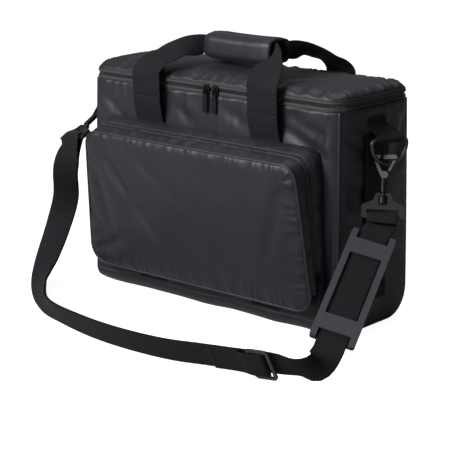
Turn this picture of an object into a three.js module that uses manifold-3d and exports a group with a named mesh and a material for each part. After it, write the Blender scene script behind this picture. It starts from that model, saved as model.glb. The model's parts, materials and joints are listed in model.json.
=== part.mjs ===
// Flight bag: a soft box with a zipped lid, a zipped front pocket, two carry handles held together by a
// padded wrap, and a webbing shoulder strap clipped to a D-ring on each end.
// Millimetres. Origin: centre of the footprint on the floor. +Z up, -Y the pocket side, +X the wearer's right.
import * as THREE from "three";
import { mergeVertices } from "three/addons/utils/BufferGeometryUtils.js";
import Module from "manifold-3d";

// ---- driving dimensions ----
const BAG = { width: 440, depth: 160, height: 298 };
const WALL = 4; // nylon, foam and backing together
const GAP = 0.4; // between pieces that touch
const LINING = 1.2;
const CORNER = { front: 20, back: 42 }; // radii of the body's lower long edges
const CORD = 2.1; // piping radius
const ZIP = { tape: 6.2, thick: 1.2, corner: 26, backEnd: 62, sliders: 6 };
const LID = { crown: 10, corner: 28, thick: 3 };
const HANDLE = { web: 50, thick: 1.8, spread: 102, backSpread: 92, standoff: 13, seam: 250, knee: 314 };
const GRIP = { length: 114, height: 352, half: 24, wall: 4, webOffset: 12, folded: 21.5 };
const POCKET = {
  bottom: 38, top: 233, rearTop: 250, depthBottom: 23, depthTop: 47,
  halfBottom: 199, halfTop: 184, rearHalfTop: 190, cornerTop: 22, cornerBottom: 26, skin: 2, panel: 4,
};
const STRAP = { web: 38, thick: 1.6, apart: 1.3 }; // apart: half the distance between two stacked layers
const RING = { radius: 25.5, wire: 2.5, rise: 6, standoff: 24, y: -8, z: 252, turn: 65 };
const HOOK = { plate: 5, reach: 65 };
const PAD = { width: 57, length: 176, from: 33, thick: 7, bar: 24, notch: 14 };

const halfW = BAG.width / 2;
const halfD = BAG.depth / 2;
const zipBase = BAG.height + GAP;
const lidBase = zipBase + 2 * (ZIP.tape + GAP);

// ---- materials ----
const finish = (color, roughness, metalness = 0) =>
  new THREE.MeshStandardMaterial({ color, roughness, metalness });
const FINISH = {
  nylon: finish(0x2b292e, 0.55),
  lining: finish(0x3a3a40, 0.8),
  webbing: finish(0x242428, 0.85),
  tape: finish(0x1d1c20, 0.8),
  board: finish(0x4a4038, 0.7),
  metal: finish(0x5a5a5e, 0.35, 0.9),
  plastic: finish(0x35353a, 0.45),
  rubber: finish(0x4b4a50, 0.75),
};

const bag = new THREE.Group();

function add(name, geometry, material, parent = bag) {
  const mesh = new THREE.Mesh(geometry, material);
  mesh.name = name;
  parent.add(mesh);
  return mesh;
}

// ---- joining and cutting ----
const wasm = await Module();
wasm.setup();

function toSolid(geometry) {
  const bare = geometry.clone();
  bare.deleteAttribute("normal");
  bare.deleteAttribute("uv");
  const merged = mergeVertices(bare, 1e-4);
  return new wasm.Manifold(
    new wasm.Mesh({
      numProp: 3,
      vertProperties: merged.attributes.position.array,
      triVerts: new Uint32Array(merged.index.array),
    }),
  );
}

function toGeometry(solid) {
  const mesh = solid.getMesh();
  const geometry = new THREE.BufferGeometry();
  geometry.setAttribute("position", new THREE.BufferAttribute(new Float32Array(mesh.vertProperties), 3));
  geometry.setIndex(new THREE.BufferAttribute(new Uint32Array(mesh.triVerts), 1));
  return geometry;
}

const join = (...parts) => toGeometry(parts.map(toSolid).reduce((a, b) => a.add(b)));
const cut = (base, ...tools) => toGeometry(tools.map(toSolid).reduce((a, b) => a.subtract(b), toSolid(base)));

// ---- outlines ----
// Straight sides with each corner rounded: corners are [x, y, radius].
function rounded(corners, { closed = true, steps = 5 } = {}) {
  const points = [];
  corners.forEach(([x, y, r = 0], i) => {
    const here = new THREE.Vector2(x, y);
    const isEnd = !closed && (i === 0 || i === corners.length - 1);
    if (isEnd || r === 0) {
      points.push(here);
      return;
    }
    const before = new THREE.Vector2(...corners.at(i - 1)).sub(here).normalize();
    const after = new THREE.Vector2(...corners[(i + 1) % corners.length]).sub(here).normalize();
    const half = Math.acos(before.dot(after)) / 2;
    const start = here.clone().addScaledVector(before, r / Math.tan(half));
    const end = here.clone().addScaledVector(after, r / Math.tan(half));
    const middle = here.clone().addScaledVector(before.clone().add(after).normalize(), r / Math.sin(half));
    const from = start.clone().sub(middle).angle();
    let sweep = end.clone().sub(middle).angle() - from;
    sweep -= 2 * Math.PI * Math.round(sweep / (2 * Math.PI));
    for (let k = 0; k <= steps; k++) {
      const a = from + (sweep * k) / steps;
      points.push(new THREE.Vector2(middle.x + r * Math.cos(a), middle.y + r * Math.sin(a)));
    }
  });
  return points;
}

const box2 = (x0, y0, x1, y1, r = 0) => [[x0, y0, r], [x1, y0, r], [x1, y1, r], [x0, y1, r]];

function plate(outline, thickness, holes = []) {
  const shape = new THREE.Shape(outline);
  shape.holes = holes.map((hole) => new THREE.Path(hole));
  return new THREE.ExtrudeGeometry(shape, { depth: thickness, bevelEnabled: false, curveSegments: 1 });
}

// A plate drawn in (y, z) and extruded along X, from x0 to x1.
function alongX(outline, x0, x1, holes = []) {
  const toWorld = new THREE.Matrix4().set(0, 0, 1, x0, 1, 0, 0, 0, 0, 1, 0, 0, 0, 0, 0, 1);
  return plate(outline, x1 - x0, holes).applyMatrix4(toWorld);
}

// A plate drawn in (x, z), extruded towards +Y by thickness from y = 0.
function standing(outline, thickness, holes = []) {
  const toWorld = new THREE.Matrix4().set(1, 0, 0, 0, 0, 0, -1, thickness, 0, 1, 0, 0, 0, 0, 0, 1);
  return plate(outline, thickness, holes).applyMatrix4(toWorld);
}

// ---- lofts: equal rings of points joined into one closed solid ----
function loft(rings, closed = false) {
  const count = rings[0].length;
  const positions = rings.flat().flatMap((p) => [p.x, p.y, p.z]);
  // Quads are split from the corner furthest along one slanting direction, so twisted layers split alike.
  const reach = rings.flat().map((p) => p.x + 1.7 * p.y + 2.9 * p.z);
  const faces = [];
  const spans = closed ? rings.length : rings.length - 1;
  for (let i = 0; i < spans; i++) {
    const a = i * count;
    const b = ((i + 1) % rings.length) * count;
    for (let k = 0; k < count; k++) {
      const n = (k + 1) % count;
      const rising = Math.max(reach[a + k], reach[b + n]) > Math.max(reach[a + n], reach[b + k]);
      if (rising) faces.push(a + k, a + n, b + n, a + k, b + n, b + k);
      else faces.push(a + k, a + n, b + k, a + n, b + n, b + k);
    }
  }
  if (!closed) {
    const last = (rings.length - 1) * count;
    for (let k = 1; k < count - 1; k++) {
      faces.push(0, k + 1, k, last, last + k, last + k + 1);
    }
  }
  const geometry = new THREE.BufferGeometry();
  geometry.setAttribute("position", new THREE.Float32BufferAttribute(positions, 3));
  geometry.setIndex(faces);
  if (signedVolume(geometry) < 0) {
    for (let i = 0; i < faces.length; i += 3) [faces[i + 1], faces[i + 2]] = [faces[i + 2], faces[i + 1]];
    geometry.setIndex(faces);
  }
  return geometry;
}

function signedVolume(geometry) {
  const p = geometry.attributes.position;
  const index = geometry.index.array;
  const [a, b, c] = [new THREE.Vector3(), new THREE.Vector3(), new THREE.Vector3()];
  let sum = 0;
  for (let i = 0; i < index.length; i += 3) {
    a.fromBufferAttribute(p, index[i]);
    b.fromBufferAttribute(p, index[i + 1]);
    c.fromBufferAttribute(p, index[i + 2]);
    sum += a.dot(b.cross(c));
  }
  return sum;
}

// Flat webbing. A station is { at, across, width }: its centre, its width direction and its width there.
// A station can also fix the direction the webbing runs in; otherwise its neighbours set it.
function webbing(stations, thick) {
  const count = stations.length;
  const rings = stations.map(({ at, across, width, run }, i) => {
    const chord = stations[Math.min(i + 1, count - 1)].at.clone().sub(stations[Math.max(i - 1, 0)].at);
    const along = (run ?? chord).clone().normalize();
    const side = across.clone().addScaledVector(along, -across.dot(along)).normalize();
    const face = new THREE.Vector3().crossVectors(along, side);
    const corner = (s, n) =>
      at.clone().addScaledVector(side, (s * width) / 2).addScaledVector(face, (n * thick) / 2);
    return [corner(-1, -1), corner(1, -1), corner(1, 1), corner(-1, 1)];
  });
  return loft(rings);
}

// A round cord along points that lie in one plane with the given normal.
function cord(points, normal, radius, { closed = false, sides = 6 } = {}) {
  const count = points.length;
  const rings = points.map((at, i) => {
    const next = closed ? points[(i + 1) % count] : points[Math.min(i + 1, count - 1)];
    const last = closed ? points.at(i - 1) : points[Math.max(i - 1, 0)];
    const along = next.clone().sub(last).normalize();
    const out = new THREE.Vector3().crossVectors(along, normal).normalize();
    return Array.from({ length: sides }, (_, k) => {
      const a = (2 * Math.PI * k) / sides;
      return at.clone().addScaledVector(out, radius * Math.cos(a)).addScaledVector(normal, radius * Math.sin(a));
    });
  });
  return loft(rings, closed);
}

const v3 = (x, y, z) => new THREE.Vector3(x, y, z);

// A flat strip stitched to a panel: a thin box between two corners, listed low to high.
function strip(x0, x1, y0, y1, z0, z1) {
  return new THREE.BoxGeometry(x1 - x0, y1 - y0, z1 - z0).translate((x0 + x1) / 2, (y0 + y1) / 2, (z0 + z1) / 2);
}

// ---- body shell ----
// The section of the body in (y, z), set in by an amount.
function bodySection(inset) {
  const front = CORNER.front - inset;
  const back = CORNER.back - inset;
  return { y0: -halfD + inset, y1: halfD - inset, z0: inset, front, back };
}

function buildBody() {
  const wrapEnd = halfW - 2 * CORD - GAP;
  const outer = bodySection(0);
  const inner = bodySection(WALL);
  const front = box2(outer.y0, CORNER.front + GAP, inner.y0, BAG.height);
  const back = box2(inner.y1, CORNER.back + GAP, outer.y1, BAG.height);
  add("front_panel", alongX(rounded(front), -wrapEnd, wrapEnd), FINISH.nylon);
  add("back_panel", alongX(rounded(back), -wrapEnd, wrapEnd), FINISH.nylon);

  // The bottom panel turns up at both long edges to meet the front and the back.
  const under = [
    ...rounded([[outer.y0, outer.front], [outer.y0, 0, outer.front], [outer.y1, 0, outer.back], [outer.y1, outer.back]],
      { closed: false }),
    ...rounded([[inner.y1, outer.back], [inner.y1, WALL, inner.back], [inner.y0, WALL, inner.front],
      [inner.y0, outer.front]], { closed: false }),
  ];
  add("bottom_panel", alongX(dropRepeats(under), -wrapEnd, wrapEnd), FINISH.nylon);

  const panel = bodySection(2 * CORD + GAP);
  const endOutline = rounded([
    [panel.y0, panel.z0, panel.front], [panel.y1, panel.z0, panel.back], [panel.y1, BAG.height], [panel.y0, BAG.height],
  ]);
  const edge = bodySection(CORD);
  const cordPath = dropRepeats(rounded([
    [edge.y0, BAG.height], [edge.y0, edge.z0, edge.front], [edge.y1, edge.z0, edge.back], [edge.y1, BAG.height],
  ], { closed: false }));
  for (const [side, sign] of [["left", -1], ["right", 1]]) {
    const faces = [sign * halfW, sign * (halfW - WALL)].sort((a, b) => a - b);
    add(`${side}_end_panel`, alongX(endOutline, ...faces), FINISH.nylon);
    const at = sign * (halfW - CORD);
    add(`${side}_piping`, cord(cordPath.map((p) => v3(at, p.x, p.y)), v3(1, 0, 0), CORD), FINISH.nylon);
  }
}

function dropRepeats(points) {
  return points.filter((p, i) => i === 0 || p.distanceTo(points[i - 1]) > 1e-3);
}

// The stiffener board on the floor of the bag, and the thin lining tub that stands on it.
function buildInside() {
  const boardTop = WALL + GAP + 3;
  const clear = WALL + GAP;
  const boardX = halfW - clear - 2;
  const boardFront = -halfD + CORNER.front;
  const boardBack = halfD - CORNER.back + 2;
  add("base_board", strip(-boardX, boardX, boardFront, boardBack, clear, boardTop), FINISH.board);
  // The lining follows the shell's rounded lower edges, one skin inside it.
  const block = (inset, top) => {
    const y = halfD - clear - inset;
    const floor = boardTop + GAP + inset;
    const section = rounded([[-y, floor, CORNER.front - 8], [y, floor, CORNER.back - 8], [y, top], [-y, top]]);
    const x = halfW - clear - inset;
    return alongX(section, -x, x);
  };
  add("inner_lining", cut(block(0, BAG.height - 3), block(LINING, BAG.height)), FINISH.lining);
}

// Webbing sewn flat on the body: the handles' load straps front and back, and one strip on each end.
function buildLoadWebbing() {
  const layer = HANDLE.thick;
  const half = HANDLE.web / 2;
  for (const [side, sign] of [["left", -1], ["right", 1]]) {
    const front = sign * HANDLE.spread;
    const back = sign * HANDLE.backSpread;
    const frontFace = -halfD - GAP;
    const backFace = halfD + GAP;
    add(`front_load_webbing_${side}`,
      strip(front - half, front + half, frontFace - layer, frontFace, CORNER.front + 4, HANDLE.seam - 12),
      FINISH.webbing);
    add(`back_load_webbing_${side}`,
      strip(back - half, back + half, backFace, backFace + layer, CORNER.back + 4, HANDLE.seam - 12),
      FINISH.webbing);
    const faces = [sign * (halfW + GAP), sign * (halfW + GAP + layer)].sort((a, b) => a - b);
    add(`${side}_end_webbing`,
      strip(...faces, RING.y - half, RING.y + half, CORNER.back, RING.z + 10), FINISH.webbing);
  }
}

// ---- main zip and lid ----
// The zip's line in plan: up one end, across the front and down the other end, on rounded front corners.
function zipLine(inset) {
  const x = halfW - inset;
  const y = halfD - inset;
  const r = ZIP.corner;
  return rounded([[-x, ZIP.backEnd], [-x, -y, r], [x, -y, r], [x, ZIP.backEnd]], { closed: false });
}

function tapeBand(z0) {
  const outer = zipLine(1);
  const inner = zipLine(1 + ZIP.thick);
  return plate([...outer, ...inner.reverse()], ZIP.tape).translate(0, 0, z0);
}

function buildLid() {
  add("body_zip_tape", tapeBand(zipBase), FINISH.tape);
  add("lid_zip_tape", tapeBand(zipBase + ZIP.tape + GAP), FINISH.tape);

  // The lid rises from its seam over a rounded shoulder to a low crown.
  const shoulder = 5;
  const ringAt = (inset, z) => {
    const x = halfW - inset;
    const y = halfD - inset;
    const r = Math.max(LID.corner - inset, 4);
    return rounded(box2(-x, -y, x, y, r), { steps: 4 }).map((p) => v3(p.x, p.y, z));
  };
  const rings = [];
  for (let i = 0; i <= shoulder; i++) {
    const a = (Math.PI / 2) * (i / shoulder);
    rings.push(ringAt(1 + 22 * (1 - Math.cos(a)), lidBase + LID.thick + (LID.crown - LID.thick) * Math.sin(a)));
  }
  add("lid_panel", loft([ringAt(1, lidBase), ...rings]), FINISH.nylon);

  // The lining stops short of the zip tape all round and hangs just under the lid.
  const lining = 4;
  const x = halfW - lining;
  const liningOutline = rounded(box2(-x, -halfD + lining, x, halfD - lining, LID.corner - lining), { steps: 4 });
  add("lid_lining", plate(liningOutline, 1.2).translate(0, 0, lidBase - GAP - 1.2), FINISH.lining);

  // The fabric hinge closes the back edge between the two ends of the zip.
  const hingeHalf = halfW - LID.corner;
  add("lid_hinge_strip",
    strip(-hingeHalf, hingeHalf, halfD - 3.2, halfD - 2, zipBase, lidBase - 2 * GAP - 1.2), FINISH.nylon);
}

// A slider lies in front of the two tapes, with a bail on its face; y = 0 is the face.
function sliderBody() {
  const body = standing(rounded(box2(-5.5, -6, 5.5, 6, 2.5), { steps: 3 }), 3);
  const arch = rounded(box2(-3, -2.3, -0.1, 2.3, 0.6), { steps: 2 }).reverse();
  const bail = alongX(rounded(box2(-4.2, -3.5, 0.3, 3.5, 1.5), { steps: 3 }), -1, 1, [arch]);
  return join(body, bail);
}

// The pull hangs by the bar at the top of its eye, which passes through the bail.
const PULL = { out: 1.6, drop: 1.2, thick: 1.2, bar: 0.6 };

function pullTab(length) {
  const outline = rounded([
    [-3.2, PULL.bar, 0.5], [-4, -length, 3], [4, -length, 3], [3.2, PULL.bar, 0.5],
  ], { steps: 3 });
  const eye = rounded(box2(-1.6, -4.2, 1.6, -PULL.bar, 0.4), { steps: 2 }).reverse();
  return standing(outline, PULL.thick, [eye]).translate(0, -PULL.thick / 2, 0);
}

function buildMainZip() {
  const seat = -halfD - 3 + GAP;
  const middle = zipBase + ZIP.tape + GAP / 2;
  for (const [side, x] of [["left", ZIP.sliders - 8], ["right", ZIP.sliders + 8]]) {
    const group = new THREE.Group();
    group.position.set(x, seat, middle);
    bag.add(group);
    add(`main_zip_slider_${side}`, sliderBody(), FINISH.metal, group);
    const pull = add(`main_zip_pull_${side}`, pullTab(30), FINISH.metal, group);
    pull.position.set(0, -PULL.out, -PULL.drop);
  }
}

// ---- carry handles ----
// Stations along a smooth curve through the given ones.
function smooth(stations, count) {
  const path = new THREE.CatmullRomCurve3(stations.map((s) => s.at), false, "centripetal");
  const sides = new THREE.CatmullRomCurve3(stations.map((s) => s.across), false, "catmullrom");
  return Array.from({ length: count + 1 }, (_, i) => {
    const t = i / count;
    const k = Math.min(Math.floor(t * (stations.length - 1)), stations.length - 2);
    const widths = [stations[k].width, stations[k + 1].width];
    const width = THREE.MathUtils.lerp(...widths, t * (stations.length - 1) - k);
    return { at: path.getPoint(t), across: sides.getPoint(t), width };
  });
}

// The back handle's straps stand a little closer together than the front ones.
const handleSpread = (facing) => (facing < 0 ? HANDLE.spread : HANDLE.backSpread);

// The strap from the seam up to the knee, leaning out far enough to clear the zip pulls.
function handleStrap(facing, sign) {
  const rise = HANDLE.knee - HANDLE.seam - 1;
  const outward = [[4, 1], [7.5, 8], [11.5, 20], [HANDLE.standoff, 40], [HANDLE.standoff, rise]];
  return outward.map(([out, up]) => ({
    at: v3(sign * handleSpread(facing), facing * (halfD + out), HANDLE.seam + up),
    across: v3(sign, 0, 0),
    width: HANDLE.web,
  }));
}

// The arm from the knee over the lid to the end of the grip, where the webbing is folded in half.
// facing is -1 for the front handle and 1 for the back one; sign is the side.
function handleArm(facing, sign) {
  const spread = handleSpread(facing);
  // share is how far the arm has come in from the strap towards the grip.
  const station = (share, out, z, tuck, width) => ({
    at: v3(sign * THREE.MathUtils.lerp(spread, GRIP.length / 2 + 4, share), facing * out, z),
    across: v3(sign * Math.cos(tuck), -facing * 0.3 * Math.sin(tuck), 0.95 * Math.sin(tuck)),
    width,
  });
  const upright = Math.PI / 2;
  return [
    station(0, 93, HANDLE.knee + 1, 0, HANDLE.web),
    station(0, 92.5, HANDLE.knee + 4, 0, HANDLE.web),
    station(0.03, 89.5, 325, 0, HANDLE.web),
    station(0.14, 80.5, 334, 0, 49),
    station(0.34, 66, 341.5, 0.1, 46),
    station(0.57, 49, 350, 0.4, 38),
    station(0.8, 29, 351.5, 1.1, 31),
    station(1, 15, GRIP.height + 1, upright, 24),
    station(1.25, GRIP.webOffset, GRIP.height, upright, GRIP.folded),
    station(1.9, GRIP.webOffset, GRIP.height, upright, GRIP.folded),
  ];
}

function handleLoop(facing, withStraps) {
  const side = (sign) => [
    ...(withStraps ? smooth(handleStrap(facing, sign), 6) : []),
    ...smooth(handleArm(facing, sign), 16),
  ];
  return webbing([...side(1), ...side(-1).reverse()], HANDLE.thick);
}

// Half of the padded wrap: a C in section, open towards the other handle.
function gripHalf(facing) {
  const outer = [[-GAP / 2, 19], [-GRIP.half, 16, 12], [-GRIP.half - 2, -17, 12], [-GAP / 2, -19]];
  const inner = [[-GAP / 2, -19 + GRIP.wall], [-GRIP.half + GRIP.wall, -15 + GRIP.wall, 7],
    [-GRIP.half + GRIP.wall, 16 - GRIP.wall, 7], [-GAP / 2, 19 - GRIP.wall]];
  const section = [...rounded(outer, { closed: false }), ...rounded(inner, { closed: false })];
  const half = alongX(section, -GRIP.length / 2, GRIP.length / 2).translate(0, 0, GRIP.height);
  return facing < 0 ? half : half.rotateZ(Math.PI);
}

function buildHandles() {
  for (const [side, sign] of [["left", -1], ["right", 1]]) {
    add(`front_handle_strap_${side}`, webbing(smooth(handleStrap(-1, sign), 6), HANDLE.thick), FINISH.webbing);
  }
  add("front_handle_loop", handleLoop(-1, false), FINISH.webbing);
  add("back_handle_webbing", handleLoop(1, true), FINISH.webbing);
  add("grip_wrap_front", gripHalf(-1), FINISH.nylon);
  add("grip_wrap_back", gripHalf(1), FINISH.nylon);
}

// ---- front pocket ----
// The pocket's rim in (x, z): from one lower corner up, across the top and down the other side.
function pocketRim(halfBottom, halfTop, bottom, top) {
  return rounded([
    [-halfBottom, bottom + POCKET.cornerBottom], [-halfTop, top, POCKET.cornerTop],
    [halfTop, top, POCKET.cornerTop], [halfBottom, bottom + POCKET.cornerBottom],
  ], { closed: false });
}

// A band of the pocket's side wall between two fractions of its depth, from the body (0) to the front (1).
function pocketBand(from, to, thick = POCKET.skin) {
  const rear = pocketRim(POCKET.halfBottom, POCKET.rearHalfTop, POCKET.bottom, POCKET.rearTop);
  const front = pocketRim(POCKET.halfBottom, POCKET.halfTop, POCKET.bottom, POCKET.top);
  const rings = rear.map((r, i) => {
    const f = front[i];
    const towards = new THREE.Vector2(-r.x, (POCKET.bottom + POCKET.rearTop) / 2 - r.y);
    const atEnd = i === 0 || i === rear.length - 1;
    const inward = atEnd ? new THREE.Vector2(-Math.sign(r.x), 0) : inwardAt(rear, i, towards);
    const point = (t, depthIn) => {
      const y = THREE.MathUtils.lerp(-halfD - GAP, pocketFace(f.y), t);
      const x = THREE.MathUtils.lerp(r.x, f.x, t) + inward.x * depthIn;
      return v3(x, y, THREE.MathUtils.lerp(r.y, f.y, t) + inward.y * depthIn);
    };
    return [point(from, 0), point(to, 0), point(to, thick), point(from, thick)];
  });
  return loft(rings);
}

// The unit normal of an open outline at point i, on the side that faces the given direction.
function inwardAt(outline, i, towards) {
  const along = outline[i + 1].clone().sub(outline[i - 1]).normalize();
  const normal = new THREE.Vector2(-along.y, along.x);
  return normal.dot(towards) < 0 ? normal.negate() : normal;
}

// The y of the pocket's front face at a height: it leans out towards the top.
function pocketFace(z) {
  const t = (z - POCKET.bottom) / (POCKET.top - POCKET.bottom);
  return -halfD - THREE.MathUtils.lerp(POCKET.depthBottom, POCKET.depthTop, t);
}

function buildPocket() {
  add("pocket_back_gusset", pocketBand(0, 0.42), FINISH.nylon);
  add("pocket_zip_tape_back", pocketBand(0.43, 0.5, ZIP.thick), FINISH.tape);
  add("pocket_zip_tape_front", pocketBand(0.51, 0.58, ZIP.thick), FINISH.tape);
  add("pocket_front_gusset", pocketBand(0.59, 0.97), FINISH.nylon);

  // The padded front lies in the leaning plane of the pocket's face.
  const { bottom, top, halfBottom, halfTop, cornerTop, cornerBottom } = POCKET;
  const rise = top - bottom;
  const lean = Math.atan2(POCKET.depthTop - POCKET.depthBottom, rise);
  const outline = rounded([
    [-halfBottom, 0, cornerBottom], [halfBottom, 0, cornerBottom],
    [halfTop, rise / Math.cos(lean), cornerTop], [-halfTop, rise / Math.cos(lean), cornerTop],
  ]);
  const face = add("pocket_front_panel", standing(outline, POCKET.panel), FINISH.nylon);
  face.position.set(0, pocketFace(bottom) - POCKET.panel, bottom);
  face.rotation.x = lean;
  const rim = outline.map((p) => v3(p.x, 0, p.y));
  const piping = add("pocket_piping", cord(rim, v3(0, 1, 0), 1.6, { closed: true, sides: 5 }), FINISH.nylon);
  piping.position.set(0, pocketFace(bottom) - POCKET.panel - 2, bottom);
  piping.rotation.x = lean;

  const floorX = halfBottom - cornerBottom;
  const floorRear = -halfD - 2 * GAP - HANDLE.thick;
  add("pocket_floor", strip(-floorX, floorX, -halfD - 19, floorRear, bottom, bottom + POCKET.skin), FINISH.nylon);

  // The slider rides on the right-hand side of the zip.
  const group = new THREE.Group();
  const low = POCKET.bottom + 46;
  const t = (low - bottom - cornerBottom) / rise;
  group.position.set(THREE.MathUtils.lerp(halfBottom, halfTop, t) + 4.1, -halfD - 14.5, low);
  group.rotation.z = Math.PI / 2;
  bag.add(group);
  add("pocket_zip_slider", sliderBody(), FINISH.metal, group);
  const pull = add("pocket_zip_pull", pullTab(26), FINISH.metal, group);
  pull.position.set(0, -PULL.out, -PULL.drop);
}

// ---- rings and their tabs ----
const ringTurn = THREE.MathUtils.degToRad(RING.turn);
const ringAcross = v3(Math.cos(ringTurn), Math.sin(ringTurn), 0);
const up = v3(0, 0, 1);
const ringFace = new THREE.Vector3().crossVectors(ringAcross, up);

function buildRing(side, sign) {
  const middle = v3(sign * (halfW + RING.standoff), RING.y, RING.z);
  const r = RING.radius;
  const outline = rounded([[-r, RING.rise, 5], [r, RING.rise, 5], [r, -r, r - 0.1], [-r, -r, r - 0.1]], { steps: 6 });
  const onRing = (p) => middle.clone().addScaledVector(ringAcross, p.x).addScaledVector(up, p.y);
  const path = dropRepeats(outline).map(onRing);
  add(`${side}_d_ring`, cord(path, ringFace, RING.wire, { closed: true, sides: 8 }), FINISH.metal);

  // The tab starts behind the ring's bar, goes under and over it, and climbs to its seam on the end panel.
  const bar = middle.clone().addScaledVector(up, RING.rise);
  const outward = ringFace.clone().multiplyScalar(Math.sign(ringFace.x) * sign);
  const round = RING.wire + GAP + STRAP.thick / 2;
  const stations = range(-175, 65, 24).map((a) => {
    const turn = THREE.MathUtils.degToRad(a);
    const at = bar.clone()
      .addScaledVector(outward, round * Math.cos(turn)).addScaledVector(up, round * Math.sin(turn));
    const run = up.clone().multiplyScalar(Math.cos(turn)).addScaledVector(outward, -Math.sin(turn));
    return { at, across: ringAcross, run };
  });
  const { at, run } = stations.at(-1);
  stations.push({ at: at.clone().addScaledVector(run, 8), across: ringAcross, run });
  const sewn = sign * (halfW + GAP + HANDLE.thick + 2);
  for (const z of [27, 34]) {
    stations.push({ at: v3(sewn, RING.y, RING.z + z), across: v3(0, 1, 0) });
  }
  stations.forEach((station) => (station.width = STRAP.web));
  add(`${side}_ring_tab`, webbing(stations, STRAP.thick), FINISH.webbing);
}

// ---- snap hooks ----
// A hook hangs along down from the point of the ring it is clipped to; across is its width direction.
const HANG = {
  left: { slide: 58.3, slot: v3(-252, -88, 207), across: v3(0.93, -0.36, 0.06) },
  right: { slide: 12, slot: v3(254, -34, 165), across: v3(0.966, 0.259, 0), base: v3(0.87, 0.46, -0.2) },
};

function hookFrame(side, sign) {
  const { slide, slot, across, base = across } = HANG[side];
  const a = THREE.MathUtils.degToRad(slide);
  const eye = v3(sign * (halfW + RING.standoff), RING.y, RING.z)
    .addScaledVector(ringAcross, -RING.radius * Math.sin(a)).addScaledVector(up, -RING.radius * Math.cos(a));
  const down = slot.clone().sub(eye).normalize();
  const facing = (width) => {
    const x = width.clone().addScaledVector(down, -width.dot(down)).normalize();
    const z = down.clone().negate();
    return new THREE.Matrix4().makeBasis(x, new THREE.Vector3().crossVectors(z, x), z).setPosition(eye);
  };
  return { eye, down, head: facing(across), base: facing(base) };
}

function placed(matrix) {
  const group = new THREE.Group();
  group.applyMatrix4(matrix);
  bag.add(group);
  return group;
}

// A solid of revolution about Z: the profile lists [radius, z] from bottom to top, on the axis at both ends.
const turned = (profile, sides = 12) =>
  new THREE.LatheGeometry(profile.map(([r, z]) => new THREE.Vector2(r, z)), sides).rotateX(Math.PI / 2);

function buildHook(side, sign) {
  const frame = hookFrame(side, sign);
  const half = HOOK.plate / 2;
  // The eye is a flat-topped triangle, open on one side where the gate closes it.
  const eye = rounded([
    [-18, 11, 3], [17.5, 11, 3], [15.5, 5.5, 1], [-11.5, 5.5, 2], [-3.5, -9.5, 3], [4, -11, 1.5], [5.5, -15.5, 1.5],
    [2.6, -20, 2], [2.6, -22], [-2.6, -22], [-3, -19, 4],
  ], { steps: 3 });
  const head = standing(eye, HOOK.plate).translate(0, -half, 0);
  const shank = turned([
    [0, -52.5], [4.6, -52.5], [5, -51.5], [5, -43.5], [4.6, -42.5],
    [2.3, -42.5], [2.3, -38], [4, -37], [4, -19], [0, -19],
  ]);
  add(`${side}_snap_hook`, join(head, shank), FINISH.metal, placed(frame.head));

  const gate = rounded([[11.3, 4, 1], [14.7, 4, 1], [7.4, -10, 1.2], [4.7, -10, 1]], { steps: 3 });
  add(`${side}_hook_gate`, standing(gate, 3.6).translate(0, -1.8, 0), FINISH.metal, placed(frame.head));

  // The base is a trapezoid plate with a socket for the swivel above and a slot for the webbing below.
  const bar = -HOOK.reach - 3;
  const base = rounded([
    [-3, -38.5, 0.6], [-3, -42, 0.6], [-6, -42, 1], [-6, -53.5, 1.5], [6, -53.5, 1.5], [6, -42, 1], [3, -42, 0.6],
    [3, -38.5, 0.6], [9, -38.5, 2], [13, -48, 3], [27, -54, 3], [27, bar - 3, 3], [-27, bar - 3, 3], [-27, -54, 3],
    [-13, -48, 3], [-9, -38.5, 2],
  ], { steps: 3 });
  const slot = rounded(box2(-20.5, bar + 2.3, 20.5, bar + 8, 1.2), { steps: 2 });
  add(`${side}_swivel_base`, standing(base, HOOK.plate, [slot]).translate(0, -half, 0), FINISH.plastic,
    placed(frame.base));
  return frame;
}

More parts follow.
